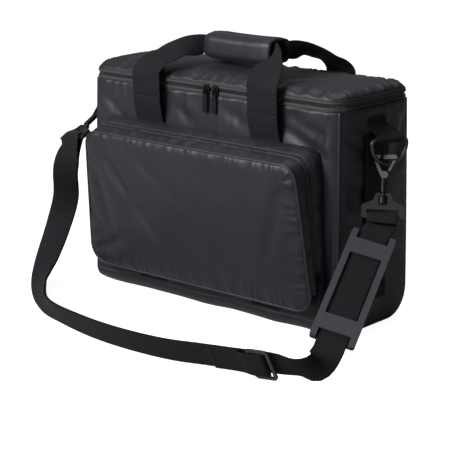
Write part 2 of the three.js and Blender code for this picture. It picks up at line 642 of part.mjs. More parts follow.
// ---- shoulder strap ----
// The line of the strap as it rests: down from the left hook, forward along the floor in front of the bag,
// then up a straight ramp through the pad to the right hook. across points to the outer, lower edge.
function strapLine(left, right) {
  const bar = (frame) => frame.eye.clone().addScaledVector(frame.down, HOOK.reach + 3);
  const start = bar(left);
  const end = bar(right);
  const [startSide, endSide] = [left, right].map((frame) => new THREE.Vector3().setFromMatrixColumn(frame.base, 0));
  const startOuter = startSide.clone().negate();
  // Next to each base the webbing runs square to the bar.
  const square = (direction, side) => direction.addScaledVector(side, -direction.dot(side)).normalize();
  const foot = v3(304.5, -214, 39.5);
  const ramp = v3(0.87, 0.46, -0.2);
  const flat = v3(-0.08, 0.5, -0.86);
  const run = (x) => ({ at: v3(x, -281.5 + (x - 110) * 0.16, 17.8 + (x - 110) * 0.057), across: flat });
  const climb = (t) => ({ at: foot.clone().lerp(end, t), across: ramp });
  return [
    { at: start, across: startOuter },
    { at: start.clone().addScaledVector(square(v3(-0.15, -0.35, -0.9), startSide), 14), across: startOuter },
    { at: v3(-265, -91, 160), across: v3(-0.85, -0.4, 0.2) },
    { at: v3(-280, -78, 112), across: v3(-0.78, -0.55, 0.2) },
    { at: v3(-286, -90, 68), across: v3(-0.9, -0.4, 0.1) },
    { at: v3(-268, -130, 32), across: v3(-0.85, -0.45, -0.25) },
    { at: v3(-225, -182, 21), across: v3(-0.55, -0.45, -0.65) },
    { at: v3(-170, -231, 20), across: v3(-0.1, -0.2, -0.97) },
    { at: v3(-110, -267, 19.5), across: v3(0.15, 0.4, -0.88) },
    { at: v3(-30, -284, 18.4), across: v3(0.04, 0.48, -0.87) },
    { at: v3(40, -288, 18), across: v3(-0.02, 0.5, -0.86) },
    run(110), run(160), run(210), run(264),
    { at: v3(288, -250, 25.5), across: v3(-0.2, 0.6, -0.75) },
    { at: v3(305, -236, 27.5), across: v3(0.4, 0.5, -0.75) },
    ...[0, 0.1, 0.3, 0.6, 0.86].map(climb),
    { at: end.clone().addScaledVector(square(foot.clone().sub(end), endSide), 14), across: endSide },
    { at: end, across: endSide },
  ];
}

// A point on the line a given distance from one end, moved off it by lift towards the strap's outer face.
function makeStrapPoint(line) {
  const path = new THREE.CatmullRomCurve3(line.map((s) => s.at), false, "centripetal");
  const sides = new THREE.CatmullRomCurve3(line.map((s) => s.across), false, "catmullrom");
  path.arcLengthDivisions = 600;
  const length = path.getLength();
  const point = (distance, lift = 0) => {
    const t = path.getUtoTmapping(distance / length);
    const along = path.getTangent(t);
    const across = sides.getPoint(t);
    across.addScaledVector(along, -across.dot(along)).normalize();
    const outer = new THREE.Vector3().crossVectors(across, along);
    return { at: path.getPoint(t).addScaledVector(outer, lift), across, along, outer };
  };
  return { length, point };
}

// The same distance along the line is measured here from the x of the straight run on the floor.
function distanceAtX(strap, x) {
  let low = strap.length * 0.4;
  let high = strap.length * 0.75;
  for (let i = 0; i < 30; i++) {
    const middle = (low + high) / 2;
    if (strap.point(middle).at.x < x) low = middle;
    else high = middle;
  }
  return low;
}

function range(from, to, step) {
  const count = Math.max(1, Math.round(Math.abs(to - from) / step));
  return Array.from({ length: count + 1 }, (_, i) => from + ((to - from) * i) / count);
}

function buildStrap(left, right) {
  const strap = makeStrapPoint(strapLine(left, right));
  const turn = 5.2; // radius of the webbing's turn round a base's bar
  const glideX = 244;
  const glideAt = distanceAtX(strap, glideX);

  // Stacked layers spread apart near each bar.
  const spread = (d) => {
    const t = THREE.MathUtils.smoothstep(Math.min(d, strap.length - d), 0, 26);
    return THREE.MathUtils.lerp(turn, STRAP.apart, t);
  };
  const layer = (distances, face) => distances.map((d) => strap.point(d, face * spread(d)));
  const turnRound = (d, away) => {
    const { at, across, along, outer } = strap.point(d);
    return [30, 60, 90, 120, 150].map((angle) => {
      const a = THREE.MathUtils.degToRad(angle);
      const offset = outer.clone().multiplyScalar(away * turn * Math.cos(a));
      const way = d > 0 ? 1 : -1;
      return { at: at.clone().add(offset).addScaledVector(along, way * turn * Math.sin(a)), across };
    });
  };
  // The outer layer runs from the glide to the left base; the inner one shares its stops and goes on.
  const tail = 14;
  const end = strap.length;
  const stops = [...range(30, 90, 12), ...range(108, end - 30, 18)];
  const doubled = stops.filter((d) => d < glideAt - 34).reverse();
  const stations = [
    ...layer([glideAt - 26, ...doubled, ...range(24, 0, 6)], 1), ...turnRound(0, 1),
    ...layer([...range(0, 24, 6), ...stops, ...range(end - 24, end, 6)], -1), ...turnRound(end, -1),
    ...layer(range(end, end - tail, 7), 1),
  ].map((s) => ({ ...s, width: STRAP.web }));
  add("strap_webbing", webbing(stations, STRAP.thick), FINISH.webbing);

  buildGlide(strap, glideAt);
  buildPad(strap);
}

// The tri-glide lies on the strap, and the webbing's sewn end passes over two of its bars.
function buildGlide(strap, glideAt) {
  const middle = strap.point(glideAt, 2.7 + 1.3);
  const z = middle.along.clone().negate();
  const x = middle.across.clone();
  const basis = new THREE.Matrix4().makeBasis(x, new THREE.Vector3().crossVectors(z, x), z).setPosition(middle.at);
  const slots = [-7, 7].map((c) => rounded(box2(-20.5, c - 4.5, 20.5, c + 4.5, 1.5), { steps: 2 }));
  const frame = standing(rounded(box2(-25, -16, 25, 16, 6), { steps: 4 }), 2.6, slots).translate(0, -1.3, 0);
  add("tri_glide", frame, FINISH.plastic, placed(basis));
  const lifts = [[-72, 3.3], [-44, 3.3], [-30, 4.2], [-18, 6.4], [-1, 6.4], [3.6, 6.2], [6, 4.6], [6.6, 2.8]];
  const stations = lifts.map(([d, lift]) => ({ ...strap.point(glideAt + d, lift), width: STRAP.web }));
  add("strap_end_loop", webbing(stations, STRAP.thick), FINISH.webbing);
}

// The pad is a moulded frame: the webbing runs in a channel under two crossbars, over a thin back.
function buildPad(strap) {
  const middle = strap.point(strap.length - PAD.from - PAD.length / 2);
  const z = middle.along.clone();
  const x = middle.across.clone();
  const basis = new THREE.Matrix4().makeBasis(x, new THREE.Vector3().crossVectors(z, x), z).setPosition(middle.at);
  const halfLength = PAD.length / 2;
  const halfWeb = STRAP.web / 2 + 1.5;
  const front = -2.9;
  const body = standing(rounded(box2(-PAD.width / 2, -halfLength, PAD.width / 2, halfLength, 3), { steps: 2 }),
    PAD.thick).translate(0, front, 0);
  const slab = (y0, y1, z0, z1) => strip(-halfWeb, halfWeb, y0, y1, z0, z1);
  const window = halfLength - PAD.notch - PAD.bar;
  const pad = cut(body,
    slab(-0.1, 2.7, -halfLength - 1, halfLength + 1),
    slab(front - 1, 0.2, -window, window),
    slab(front - 1, 0.2, halfLength - PAD.notch, halfLength + 1),
    slab(front - 1, 0.2, -halfLength - 1, -halfLength + PAD.notch));
  add("shoulder_pad", pad, FINISH.rubber, placed(basis));
}

buildBody();
buildInside();
buildLoadWebbing();
buildLid();
buildMainZip();
buildHandles();
buildPocket();
buildRing("left", -1);
buildRing("right", 1);
buildStrap(buildHook("left", -1), buildHook("right", 1));

export default bag;
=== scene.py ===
"""Looks of the flight bag: soft nylon panels, webbing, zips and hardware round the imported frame.

Metres, in the row frame: -Y is the pocket side, +X the end with the shoulder pad, +Z up.
"""
import json
import math

import bpy
import numpy as np
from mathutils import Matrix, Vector, noise


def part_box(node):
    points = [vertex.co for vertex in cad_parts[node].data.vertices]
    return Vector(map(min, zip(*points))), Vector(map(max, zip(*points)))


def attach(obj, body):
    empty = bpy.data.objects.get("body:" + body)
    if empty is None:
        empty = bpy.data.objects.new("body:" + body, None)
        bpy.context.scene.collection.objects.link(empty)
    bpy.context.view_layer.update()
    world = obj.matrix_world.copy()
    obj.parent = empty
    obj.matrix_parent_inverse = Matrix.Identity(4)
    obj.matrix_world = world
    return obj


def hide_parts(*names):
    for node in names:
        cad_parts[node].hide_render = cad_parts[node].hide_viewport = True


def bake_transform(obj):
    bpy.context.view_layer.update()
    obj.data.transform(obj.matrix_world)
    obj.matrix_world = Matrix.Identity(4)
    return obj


MM = 0.001
MIDDLE = (0, 0, 0.15)  # a point well inside the bag

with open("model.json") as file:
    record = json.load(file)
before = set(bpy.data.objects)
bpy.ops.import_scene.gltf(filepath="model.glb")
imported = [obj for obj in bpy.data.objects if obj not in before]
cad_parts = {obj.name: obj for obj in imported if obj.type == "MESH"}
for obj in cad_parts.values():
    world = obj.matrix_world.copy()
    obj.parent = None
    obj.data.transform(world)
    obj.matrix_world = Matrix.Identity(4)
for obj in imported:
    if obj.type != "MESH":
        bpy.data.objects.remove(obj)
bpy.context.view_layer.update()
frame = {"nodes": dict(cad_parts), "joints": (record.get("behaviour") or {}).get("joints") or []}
JOINTS = {joint["name"]: joint for joint in frame["joints"]}
X, Y, Z = np.eye(3)

# ---- sizes read from the frame ----
HALF_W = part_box("right_end_panel")[1].x
HALF_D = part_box("back_panel")[1].y
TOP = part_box("front_panel")[1].z
LID_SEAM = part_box("lid_panel")[0].z
LID_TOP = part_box("lid_panel")[1].z
ZIP_INSET = HALF_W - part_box("body_zip_tape")[1].x
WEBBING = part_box("front_load_webbing_right")[1].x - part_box("front_load_webbing_right")[0].x
STRAP_WEB = 38 * MM
FRONT_SPREAD = sum(corner.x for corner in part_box("front_load_webbing_right")) / 2
BACK_SPREAD = sum(corner.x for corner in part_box("back_load_webbing_right")) / 2
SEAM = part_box("front_handle_strap_right")[0].z
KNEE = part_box("front_handle_strap_right")[1].z
RING_Y = sum(corner.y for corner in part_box("right_end_webbing")) / 2

# ---- shaping ----
CORNER_FRONT = 20 * MM  # radii of the body's lower long edges
CORNER_BACK = 42 * MM
AT_SEAM = 0.293  # a corner's seam lies this share of its radius in from both faces
TO_FLAT = 0.707  # and this share of it from where each face starts to bend
WALL_BULGE = 2.5 * MM
SIDES = (("left", -1), ("right", 1))
PIPING = 2.1 * MM
ZIP_CORNER = 26 * MM  # radius of the zip's corners in plan
PADDED = 2.5 * MM  # thickness of the outer cloth with its padding
STRAP_THICK = 1.6 * MM


def corner_radius(z):
    """How rounded the body's upright corners are at a height: softest at the zip."""
    return (13 + 13 * np.clip(z / TOP, 0, 1) ** 1.5) * MM


# ---- small maths ----
def smooth(t):
    t = np.clip(t, 0, 1)
    return t * t * (3 - 2 * t)


def unit(v):
    v = np.asarray(v, float)
    return v / np.maximum(np.linalg.norm(v, axis=-1, keepdims=True), 1e-12)


def noise_at(points, size, seed=0.0):
    """Smooth noise in -1..1 at each point, with features of about the given size."""
    flat = np.asarray(points, float).reshape(-1, np.shape(points)[-1]) / size
    if flat.shape[1] == 2:
        flat = np.column_stack([flat, np.zeros(len(flat))])
    shift = Vector((seed * 7.31, seed * 3.17, seed * 5.53))
    values = np.array([noise.noise(Vector(p) + shift) for p in flat])
    return values.reshape(np.shape(points)[:-1])


def run_along(path):
    """The distance along a path at each of its points."""
    return np.concatenate([[0], np.cumsum(np.linalg.norm(np.diff(path, axis=0), axis=1))])


def even_rows(rows, count):
    """Rows of numbers resampled to count + 1 rows, evenly spaced by their first three columns."""
    run = run_along(rows[:, :3])
    even = np.linspace(0, run[-1], count + 1)
    return np.column_stack([np.interp(even, run, column) for column in rows.T])


def closed_line(outline, count):
    """A closed outline resampled to count evenly spaced points."""
    return even_rows(outline[np.r_[0 : len(outline), 0]], count)[:-1]


def spline(rows, count):
    """A smooth path through rows of numbers, as count + 1 evenly spaced rows."""
    rows = np.array(rows, float)
    gaps = np.linalg.norm(np.diff(rows[:, :3], axis=0), axis=1) ** 0.5
    knots = np.concatenate([[0], np.cumsum(np.maximum(gaps, 1e-6))])
    slopes = np.gradient(rows, knots, axis=0)
    t = np.linspace(0, knots[-1], 40 * len(rows))
    i = np.clip(np.searchsorted(knots, t, side="right") - 1, 0, len(rows) - 2)
    h = (knots[i + 1] - knots[i])[:, None]
    s = (t[:, None] - knots[i][:, None]) / h
    dense = (
        (2 * s**3 - 3 * s**2 + 1) * rows[i]
        + (s**3 - 2 * s**2 + s) * h * slopes[i]
        + (3 * s**2 - 2 * s**3) * rows[i + 1]
        + (s**3 - s**2) * h * slopes[i + 1]
    )
    return even_rows(dense, count)


def rounded(corners, steps=8, closed=True):
    """An outline with rounded corners; each corner is (x, y, radius)."""
    points = []
    count = len(corners)
    for i, (x, y, r) in enumerate(corners):
        here = np.array([x, y], float)
        if r == 0 or (not closed and i in (0, count - 1)):
            points.append(here)
            continue
        before = unit(np.array(corners[i - 1][:2]) - here)
        after = unit(np.array(corners[(i + 1) % count][:2]) - here)
        half = math.acos(np.clip(before @ after, -1, 1)) / 2
        start = here + before * r / math.tan(half)
        end = here + after * r / math.tan(half)
        middle = here + unit(before + after) * r / math.sin(half)
        a0 = math.atan2(*(start - middle)[::-1])
        sweep = math.atan2(*(end - middle)[::-1]) - a0
        sweep -= 2 * math.pi * round(sweep / (2 * math.pi))
        for a in a0 + sweep * np.linspace(0, 1, steps + 1):
            points.append(middle + r * np.array([math.cos(a), math.sin(a)]))
    return np.array(points)


def to_outline(points, outline, closed=True):
    """For each 2-D point: its distance to an outline, and how far along the outline the nearest spot is."""
    ends = np.roll(outline, -1, axis=0) if closed else outline[1:]
    starts = outline if closed else outline[:-1]
    edges = ends - starts
    lengths = np.linalg.norm(edges, axis=1)
    run = np.concatenate([[0], np.cumsum(lengths)])[:-1]
    flat = np.asarray(points, float).reshape(-1, 2)
    best = np.full(len(flat), 1e9)
    along = np.zeros(len(flat))
    for start, edge, length, begin in zip(starts, edges, lengths, run):
        if length < 1e-9:
            continue
        t = np.clip((flat - start) @ edge / length**2, 0, 1)
        distance = np.linalg.norm(flat - start - t[:, None] * edge, axis=1)
        nearer = distance < best
        best = np.where(nearer, distance, best)
        along = np.where(nearer, begin + t * length, along)
    shape = np.shape(points)[:-1]
    return best.reshape(shape), along.reshape(shape)


def pillow(distance, height, reach):
    """A padded panel's rise: steep at its seam and flat once reach away from it."""
    t = np.clip(distance / reach, 0, 1)
    return height * np.sqrt(1 - (1 - t) ** 2)


def pucker(distance, along, size, period, reach, seed=0.0):
    """Gathers square to a seam: deepest a little way in from it and gone beyond its reach."""
    wave = noise_at(np.stack([along / period, distance / (6 * period)], axis=-1), 1.0, seed)
    sharp = 1 - 2.2 * np.sqrt(np.abs(wave))
    return size * sharp * (distance / reach) * np.exp(1 - distance / reach)


def crease(points, start, end, depth, width):
    """A straight soft fold pressed into a panel between two 2-D points."""
    start, end = np.array(start), np.array(end)
    line = end - start
    t = np.clip((points - start) @ line / (line @ line), 0, 1)
    off = np.linalg.norm(points - start - t[..., None] * line, axis=-1)
    return -depth * np.sin(np.pi * np.clip(t, 0.02, 0.98)) ** 0.6 * np.exp(-((off / width) ** 2))


def creased(height, points, creases, width):
    """A panel's height with creases pressed into it; each crease is (start, end, depth in mm)."""
    for start, end, depth in creases:
        height = height + crease(points, start, end, depth * MM, width)
    return height


# ---- meshes ----
def add_object(name, data):
    made = bpy.data.objects.new(name, data)
    bpy.context.scene.collection.objects.link(made)
    return made


def new_mesh(name, points, faces, uv, material, body):
    mesh = bpy.data.meshes.new(name)
    mesh.from_pydata([tuple(p) for p in points], [], faces)
    layer = mesh.uv_layers.new(name="UVMap")
    corners = np.array([i for face in faces for i in face])
    layer.data.foreach_set("uv", np.asarray(uv, np.float32)[corners].ravel())
    mesh.polygons.foreach_set("use_smooth", [True] * len(mesh.polygons))
    mesh.materials.append(material)
    mesh.update()
    made = add_object(name, mesh)
    if body:
        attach(made, body)
    return made


def lengths_uv(grid):
    """Texture coordinates in metres: u along the second index, v along the first."""
    u = np.linalg.norm(np.diff(grid, axis=1), axis=2)
    v = np.linalg.norm(np.diff(grid, axis=0), axis=2)
    u = np.concatenate([np.zeros((len(grid), 1)), np.cumsum(u, axis=1)], axis=1)
    v = np.concatenate([np.zeros((1, grid.shape[1])), np.cumsum(v, axis=0)], axis=0)
    return np.stack([u, np.broadcast_to(v.mean(axis=1)[:, None], u.shape)], axis=-1)


def sheet(name, grid, material, body, inside, thickness):
    """A sheet of cloth over a grid of points; inside is a point on the side its thickness goes to."""
    rows, columns = grid.shape[:2]
    normal = np.cross(np.gradient(grid, axis=0), np.gradient(grid, axis=1))
    flip = (normal * (grid - np.array(inside))).sum() < 0
    faces = []
    for i in range(rows - 1):
        for j in range(columns - 1):
            a = i * columns + j
            quad = (a, a + columns, a + columns + 1, a + 1)
            faces.append(quad[::-1] if flip else quad)
    made = new_mesh(name, grid.reshape(-1, 3), faces, lengths_uv(grid).reshape(-1, 2), material, body)
    if thickness:
        solid = made.modifiers.new("thickness", "SOLIDIFY")
        solid.thickness = thickness
        solid.offset = -1
    return made


def tube(name, rings, material, body, closed=False):
    """Rings of points, all the same count, skinned into one closed body."""
    rings = np.asarray(rings, float)
    count, sides = rings.shape[:2]
    faces = []
    for i in range(count if closed else count - 1):
        a, b = i * sides, ((i + 1) % count) * sides
        for k in range(sides):
            n = (k + 1) % sides
            faces.append((a + k, a + n, b + n, b + k))
    if not closed:
        faces.append(tuple(range(sides))[::-1])
        faces.append(tuple((count - 1) * sides + k for k in range(sides)))
    middle = rings.reshape(-1, 3).mean(axis=0)
    first = rings.reshape(-1, 3) - middle
    fans = ((face[0], face[k], face[k + 1]) for face in faces for k in range(1, len(face) - 1))
    volume = sum(first[a] @ np.cross(first[b], first[c]) for a, b, c in fans)
    if volume < 0:
        faces = [face[::-1] for face in faces]
    uv = lengths_uv(rings)
    return new_mesh(name, rings.reshape(-1, 3), faces, uv.reshape(-1, 2), material, body)


def frames_along(path, side):
    """The directions along a path, across it and out of its face."""
    along = unit(np.gradient(path, axis=0))
    side = np.broadcast_to(side, path.shape)
    side = unit(side - (side * along).sum(axis=1)[:, None] * along)
    return along, side, np.cross(along, side)


def cord(name, path, normal, radius, material, body, closed=False, sides=12):
    """A round cord or wire along a path that lies in a plane."""
    if closed:
        along = unit(np.roll(path, -1, axis=0) - np.roll(path, 1, axis=0))
    else:
        along = unit(np.gradient(path, axis=0))
    out = unit(np.cross(along, normal))
    turns = np.linspace(0, 2 * math.pi, sides, endpoint=False)
    up = np.cross(out, along)
    rings = path[:, None] + radius * (
        out[:, None] * np.cos(turns)[None, :, None] + up[:, None] * np.sin(turns)[None, :, None]
    )
    return tube(name, rings, material, body, closed)


def webbing(name, path, side, width, material, body, thick=1.8 * MM):
    """Flat webbing along a path, with its rounded selvedges."""
    _, side, face = frames_along(path, side)
    width = np.broadcast_to(width, len(path))[:, None, None]
    across = np.array([-0.5, -0.485, -0.44, -0.22, 0, 0.22, 0.44, 0.485, 0.5])
    half = np.array([0.25, 0.8, 1, 1, 1, 1, 1, 0.8, 0.25]) * thick / 2
    s = np.concatenate([across, across[::-1]])[None, :, None]
    n = np.concatenate([half, -half[::-1]])[None, :, None]
    rings = path[:, None] + side[:, None] * s * width + face[:, None] * n
    made = tube(name, rings, material, body)
    # Both faces take u straight across the webbing, so that its ribs run edge to edge.
    run = run_along(path)[:, None]
    uv = np.stack(np.broadcast_arrays(s[..., 0] + 0.5, run), axis=-1).reshape(-1, 2)
    corners = np.zeros(len(made.data.loops), int)
    made.data.loops.foreach_get("vertex_index", corners)
    made.data.uv_layers[0].data.foreach_set("uv", uv[corners].astype(np.float32).ravel())
    return made


def stand_in(part, node):
    """Hides the CAD node whose place a visible piece has taken."""
    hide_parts(node)


def show_cad(nodes, material, bevel):
    """Shows hard CAD nodes as they are, with softened edges."""
    for node in nodes:
        part = frame["nodes"][node]
        part.data.materials.clear()
        part.data.materials.append(material)
        edge = part.modifiers.new("bevel", "BEVEL")
        edge.width = bevel
        edge.segments = 3
        edge.limit_method = "ANGLE"
        edge.angle_limit = math.radians(35)
        edge.harden_normals = True


# ---- materials ----
class Nodes:
    """A node material being wired up."""

    def __init__(self, name):
        self.material = bpy.data.materials.new(name)
        self.material.use_nodes = True
        self.tree = self.material.node_tree
        self.shader = self.tree.nodes["Principled BSDF"]

    def add(self, kind, inputs=None, **settings):
        node = self.tree.nodes.new(kind)
        for key, value in settings.items():
            setattr(node, key, value)
        for key, value in (inputs or {}).items():
            self.feed(node, key, value)
        return node

    def feed(self, node, key, value):
        socket = node.inputs[key]
        if isinstance(value, bpy.types.NodeSocket):
            self.tree.links.new(value, socket)
        else:
            socket.default_value = value

    def set(self, **inputs):
        for key, value in inputs.items():
            self.feed(self.shader, key.replace("_", " "), value)

    def object_space(self):
        return self.add("ShaderNodeTexCoord").outputs["Object"]

    def uv(self):
        return self.add("ShaderNodeUVMap", uv_map="UVMap").outputs["UV"]

    def noise(self, size, detail=3.0, stretch=(1, 1, 1), distortion=0.0):
        place = self.add("ShaderNodeMapping", {"Vector": self.object_space(), "Scale": stretch})
        inputs = {"Vector": place.outputs[0], "Scale": 1 / size, "Detail": detail, "Distortion": distortion}
        return self.add("ShaderNodeTexNoise", inputs).outputs["Fac"]

    def bump(self, height, strength, distance, normal=None):
        inputs = {"Height": height, "Strength": strength, "Distance": distance}
        if normal:
            inputs["Normal"] = normal
        return self.add("ShaderNodeBump", inputs).outputs["Normal"]

    def wave(self, vector, size, direction="X"):
        """Stripes of the given spacing; at a scale of 0.3142 they are one unit apart."""
        inputs = {"Vector": vector, "Scale": 0.3142 / size}
        kind = {"wave_type": "BANDS", "bands_direction": direction, "wave_profile": "SIN"}
        return self.add("ShaderNodeTexWave", inputs, **kind).outputs["Fac"]

    def scaled(self, value, factor):
        return self.add("ShaderNodeMath", {0: value, 1: factor}, operation="MULTIPLY").outputs[0]

    def mix(self, factor, low, high):
        ramp = self.add("ShaderNodeMix", data_type="RGBA")
        self.feed(ramp, "Factor", factor)
        for index, color in ((6, low), (7, high)):
            ramp.inputs[index].default_value = (*color, 1)
        return ramp.outputs[2]


def make_nylon(name="nylon", low=(0.0075, 0.0057, 0.0093), high=(0.0125, 0.0098, 0.0152), wrinkle=1.0):
    """Coated nylon: a fine plain weave, soft crumples and a low sheen."""
    n = Nodes(name)
    crumple = n.bump(n.noise(45 * MM, 3, distortion=0.4), 0.2 * wrinkle, 5 * MM)
    crumple = n.bump(n.noise(12 * MM, 2), 0.07 * wrinkle, 1.5 * MM, crumple)
    weave = n.bump(n.noise(0.7 * MM, 1), 0.22, 0.2 * MM, crumple)
    n.set(Base_Color=n.mix(n.noise(60 * MM, 4), low, high), Roughness=0.48, Normal=weave)
    n.set(Sheen_Weight=0.02, Sheen_Roughness=0.45, Specular_IOR_Level=0.27)
    return n.material


def make_webbing(name, color, rib=2.3 * MM):
    """Woven webbing: fine ribs across its run."""
    n = Nodes(name)
    ribs = n.wave(n.uv(), rib, "Y")
    # The ribs are painted as well as bumped: a painted highlight on each crest and painted shade in each
    # groove.
    rib_crest_painted_highlight = tuple(2.1 * c for c in color)
    rib_groove_painted_shade = tuple(0.4 * c for c in color)
    weave = n.bump(ribs, 0.75, 0.45 * MM)
    weave = n.bump(n.noise(0.8 * MM, 2), 0.35, 0.25 * MM, weave)
    weave = n.bump(n.noise(25 * MM, 2), 0.2, 2 * MM, weave)
    n.set(Base_Color=n.mix(ribs, rib_groove_painted_shade, rib_crest_painted_highlight), Roughness=0.72, Normal=weave)
    n.set(Sheen_Weight=0.01, Sheen_Roughness=0.5, Specular_IOR_Level=0.08)
    return n.material


def make_tape():
    """Zip tape: a close ribbed weave, almost black."""
    n = Nodes("zip_tape")
    weave = n.bump(n.wave(n.uv(), 1.1 * MM, "X"), 0.4, 0.3 * MM)
    n.set(Base_Color=(0.0095, 0.0088, 0.0105, 1), Roughness=0.7, Normal=weave)
    return n.material


def make_teeth():
    """A moulded zip chain seen as a bead with a tooth every two millimetres."""
    n = Nodes("zip_teeth")
    teeth = n.wave(n.uv(), 2.2 * MM, "Y")
    # Painted shade in the gaps between the teeth: the gaps are darker and each tooth lighter.
    color = n.mix(teeth, (0.003, 0.003, 0.0034), (0.014, 0.0135, 0.015))
    n.set(Base_Color=color, Roughness=0.38, Normal=n.bump(teeth, 1.0, 0.9 * MM))
    return n.material


def make_metal(name, low, high):
    """Dark plated metal with a soft brushed grain."""
    n = Nodes(name)
    grain = n.noise(1.2 * MM, 3, stretch=(1, 1, 8))
    tone = n.mix(n.noise(9 * MM, 2), low, high)
    n.set(Base_Color=tone, Metallic=1.0, Roughness=0.4, Normal=n.bump(grain, 0.08, 0.2 * MM))
    return n.material


def make_plastic():
    """Black moulded plastic with a satin skin."""
    n = Nodes("black_plastic")
    skin = n.bump(n.noise(0.9 * MM, 2), 0.12, 0.15 * MM)
    n.set(Base_Color=(0.008, 0.008, 0.009, 1), Roughness=0.36, Normal=skin)
    return n.material


def make_rubber():
    """The shoulder pad's grey moulded rubber."""
    n = Nodes("pad_rubber")
    grain = n.bump(n.noise(0.8 * MM, 2), 0.3, 0.2 * MM)
    n.set(Base_Color=n.mix(n.noise(14 * MM, 3), (0.021, 0.02, 0.0245), (0.028, 0.0265, 0.032)))
    n.set(Roughness=0.62, Specular_IOR_Level=0.3, Normal=grain)
    return n.material


def make_board():
    n = Nodes("board")
    n.set(Base_Color=n.mix(n.noise(8 * MM, 4), (0.05, 0.047, 0.043), (0.075, 0.07, 0.064)), Roughness=0.7)
    return n.material


NYLON = make_nylon()
PIPED = make_nylon("nylon_piping", (0.011, 0.009, 0.013), (0.016, 0.0135, 0.019), 0.3)
LINING = make_nylon("lining", (0.085, 0.085, 0.09), (0.12, 0.12, 0.125), 1.2)
WEB = make_webbing("webbing", (0.0062, 0.0057, 0.0072))
STRAP = make_webbing("strap_webbing", (0.006, 0.0057, 0.0072), 2.6 * MM)
TAPE = make_tape()
TEETH = make_teeth()
METAL = make_metal("gunmetal", (0.045, 0.044, 0.048), (0.085, 0.083, 0.088))
DARK_METAL = make_metal("black_metal", (0.013, 0.013, 0.014), (0.026, 0.025, 0.027))
PLASTIC = make_plastic()
RUBBER = make_rubber()
BOARD = make_board()


# ---- body ----
def edge_drop(distance, radius):
    """How far a panel falls back beside a rounded corner, at a distance from the corner's seam."""
    angle = (math.pi / 4) * (1 - np.clip(distance / (TO_FLAT * radius), 0, 1))
    return radius * (1 - np.cos(angle))


def body_section(inset, count):
    """The wrap of front, bottom and back in (y, z), from the front's top edge round to the back's."""
    d = HALF_D - inset
    low_corners = [(-d, inset, CORNER_FRONT - inset), (d, inset, CORNER_BACK - inset)]
    return even_rows(rounded([(-d, TOP, 0), *low_corners, (d, TOP, 0)], closed=False), count)


def section_outward(section):
    """The direction out of the bag at each point of the wrap's section."""
    tangent = unit(np.gradient(section, axis=0))
    outward = np.column_stack([tangent[:, 1], -tangent[:, 0]])
    return outward * np.sign((outward * (section - [0, TOP / 2])).sum(axis=1))[:, None]


def spread_to_edges(count, half, crowd=0.35):
    """Positions from -half to half, closer together near both ends."""
    t = np.linspace(-1, 1, count)
    return half * ((1 - crowd) * t + crowd * np.sin(t * math.pi / 2))


def wrap_points(section, columns, inset=0.0):
    """The wrap of front, bottom and back as a grid: rows along the section, columns across the bag."""
    outward = section_outward(section)
    radius = corner_radius(section[:, 1])[:, None]
    half = HALF_W - inset - AT_SEAM * radius
    x = spread_to_edges(columns, 1.0)[None, :] * half
    z = np.broadcast_to(section[:, 1:2], x.shape)
    offset = -edge_drop(half - np.abs(x), radius)
    upright = np.abs(outward[:, 0:1])
    middle = np.cos(np.clip(x / HALF_W, -1, 1) * math.pi / 2)
    offset = offset + upright * WALL_BULGE * middle * np.sin(np.clip(z / TOP, 0, 1) * math.pi)
    y, z = (section[:, [axis]] + outward[:, [axis]] * offset for axis in (0, 1))
    points = np.stack([x, y, z], axis=-1)
    normal = np.stack(np.broadcast_arrays(0 * x, outward[:, 0:1], outward[:, 1:2]), axis=-1)
    return points, normal


def wall_folds(points, seed):
    """Wrinkles of a hanging nylon wall: gathers under the zip and slow waves lower down."""
    below = TOP - points[..., 2]
    run = points[..., 0] + points[..., 1]
    gathers = pucker(below + 1 * MM, run, 2.0 * MM, 21 * MM, 13 * MM, seed)
    waves = 2.0 * MM * noise_at(points, 60 * MM, seed) + 0.5 * MM * noise_at(points, 24 * MM, seed + 3)
    return gathers + waves * smooth(below / (25 * MM))


def build_wrap():
    section = body_section(0, 150)
    points, normal = wrap_points(section, 150)
    half = points[:, -1, 0][:, None]
    near_seam = smooth((half - np.abs(points[..., 0])) / (12 * MM))
    folds = wall_folds(points, 1.0)
    pulls = (
        ((0.115, 0.275), (0.205, 0.235), 4.2), ((0.13, 0.287), (0.2, 0.262), 3.2),
        ((0.2, 0.29), (0.17, 0.215), 3.6), ((-0.205, 0.285), (-0.15, 0.245), 3.6),
        ((-0.07, 0.285), (-0.02, 0.25), 3.0), ((0.075, 0.262), (0.02, 0.285), 2.6),
        ((0.208, 0.2), (0.203, 0.05), 2.6),
    )
    folds = creased(folds, points[..., [0, 2]], pulls, 8 * MM)
    points = points + normal * (folds * near_seam)[..., None]
    points[..., 2] = np.maximum(points[..., 2], 0.2 * MM)
    z = section[:, 1]
    front = np.arange(len(z)) < len(z) / 2
    splits = {
        "front_panel": front & (z > CORNER_FRONT - 2 * MM),
        "bottom_panel": np.where(front, z < CORNER_FRONT + 2 * MM, z < CORNER_BACK + 2 * MM),
        "back_panel": ~front & (z > CORNER_BACK - 2 * MM),
    }
    for name, rows in splits.items():
        part = sheet(f"{name}_cloth", points[rows], NYLON, "root", MIDDLE, PADDED)
        stand_in(part, name)


def wall_depth(z, radius):
    """How far from the middle a wall stands at a height, above a rounded edge of the given radius."""
    below = np.clip(radius - z, 0, radius)
    return HALF_D - radius + np.sqrt(np.maximum(radius**2 - below**2, 0))


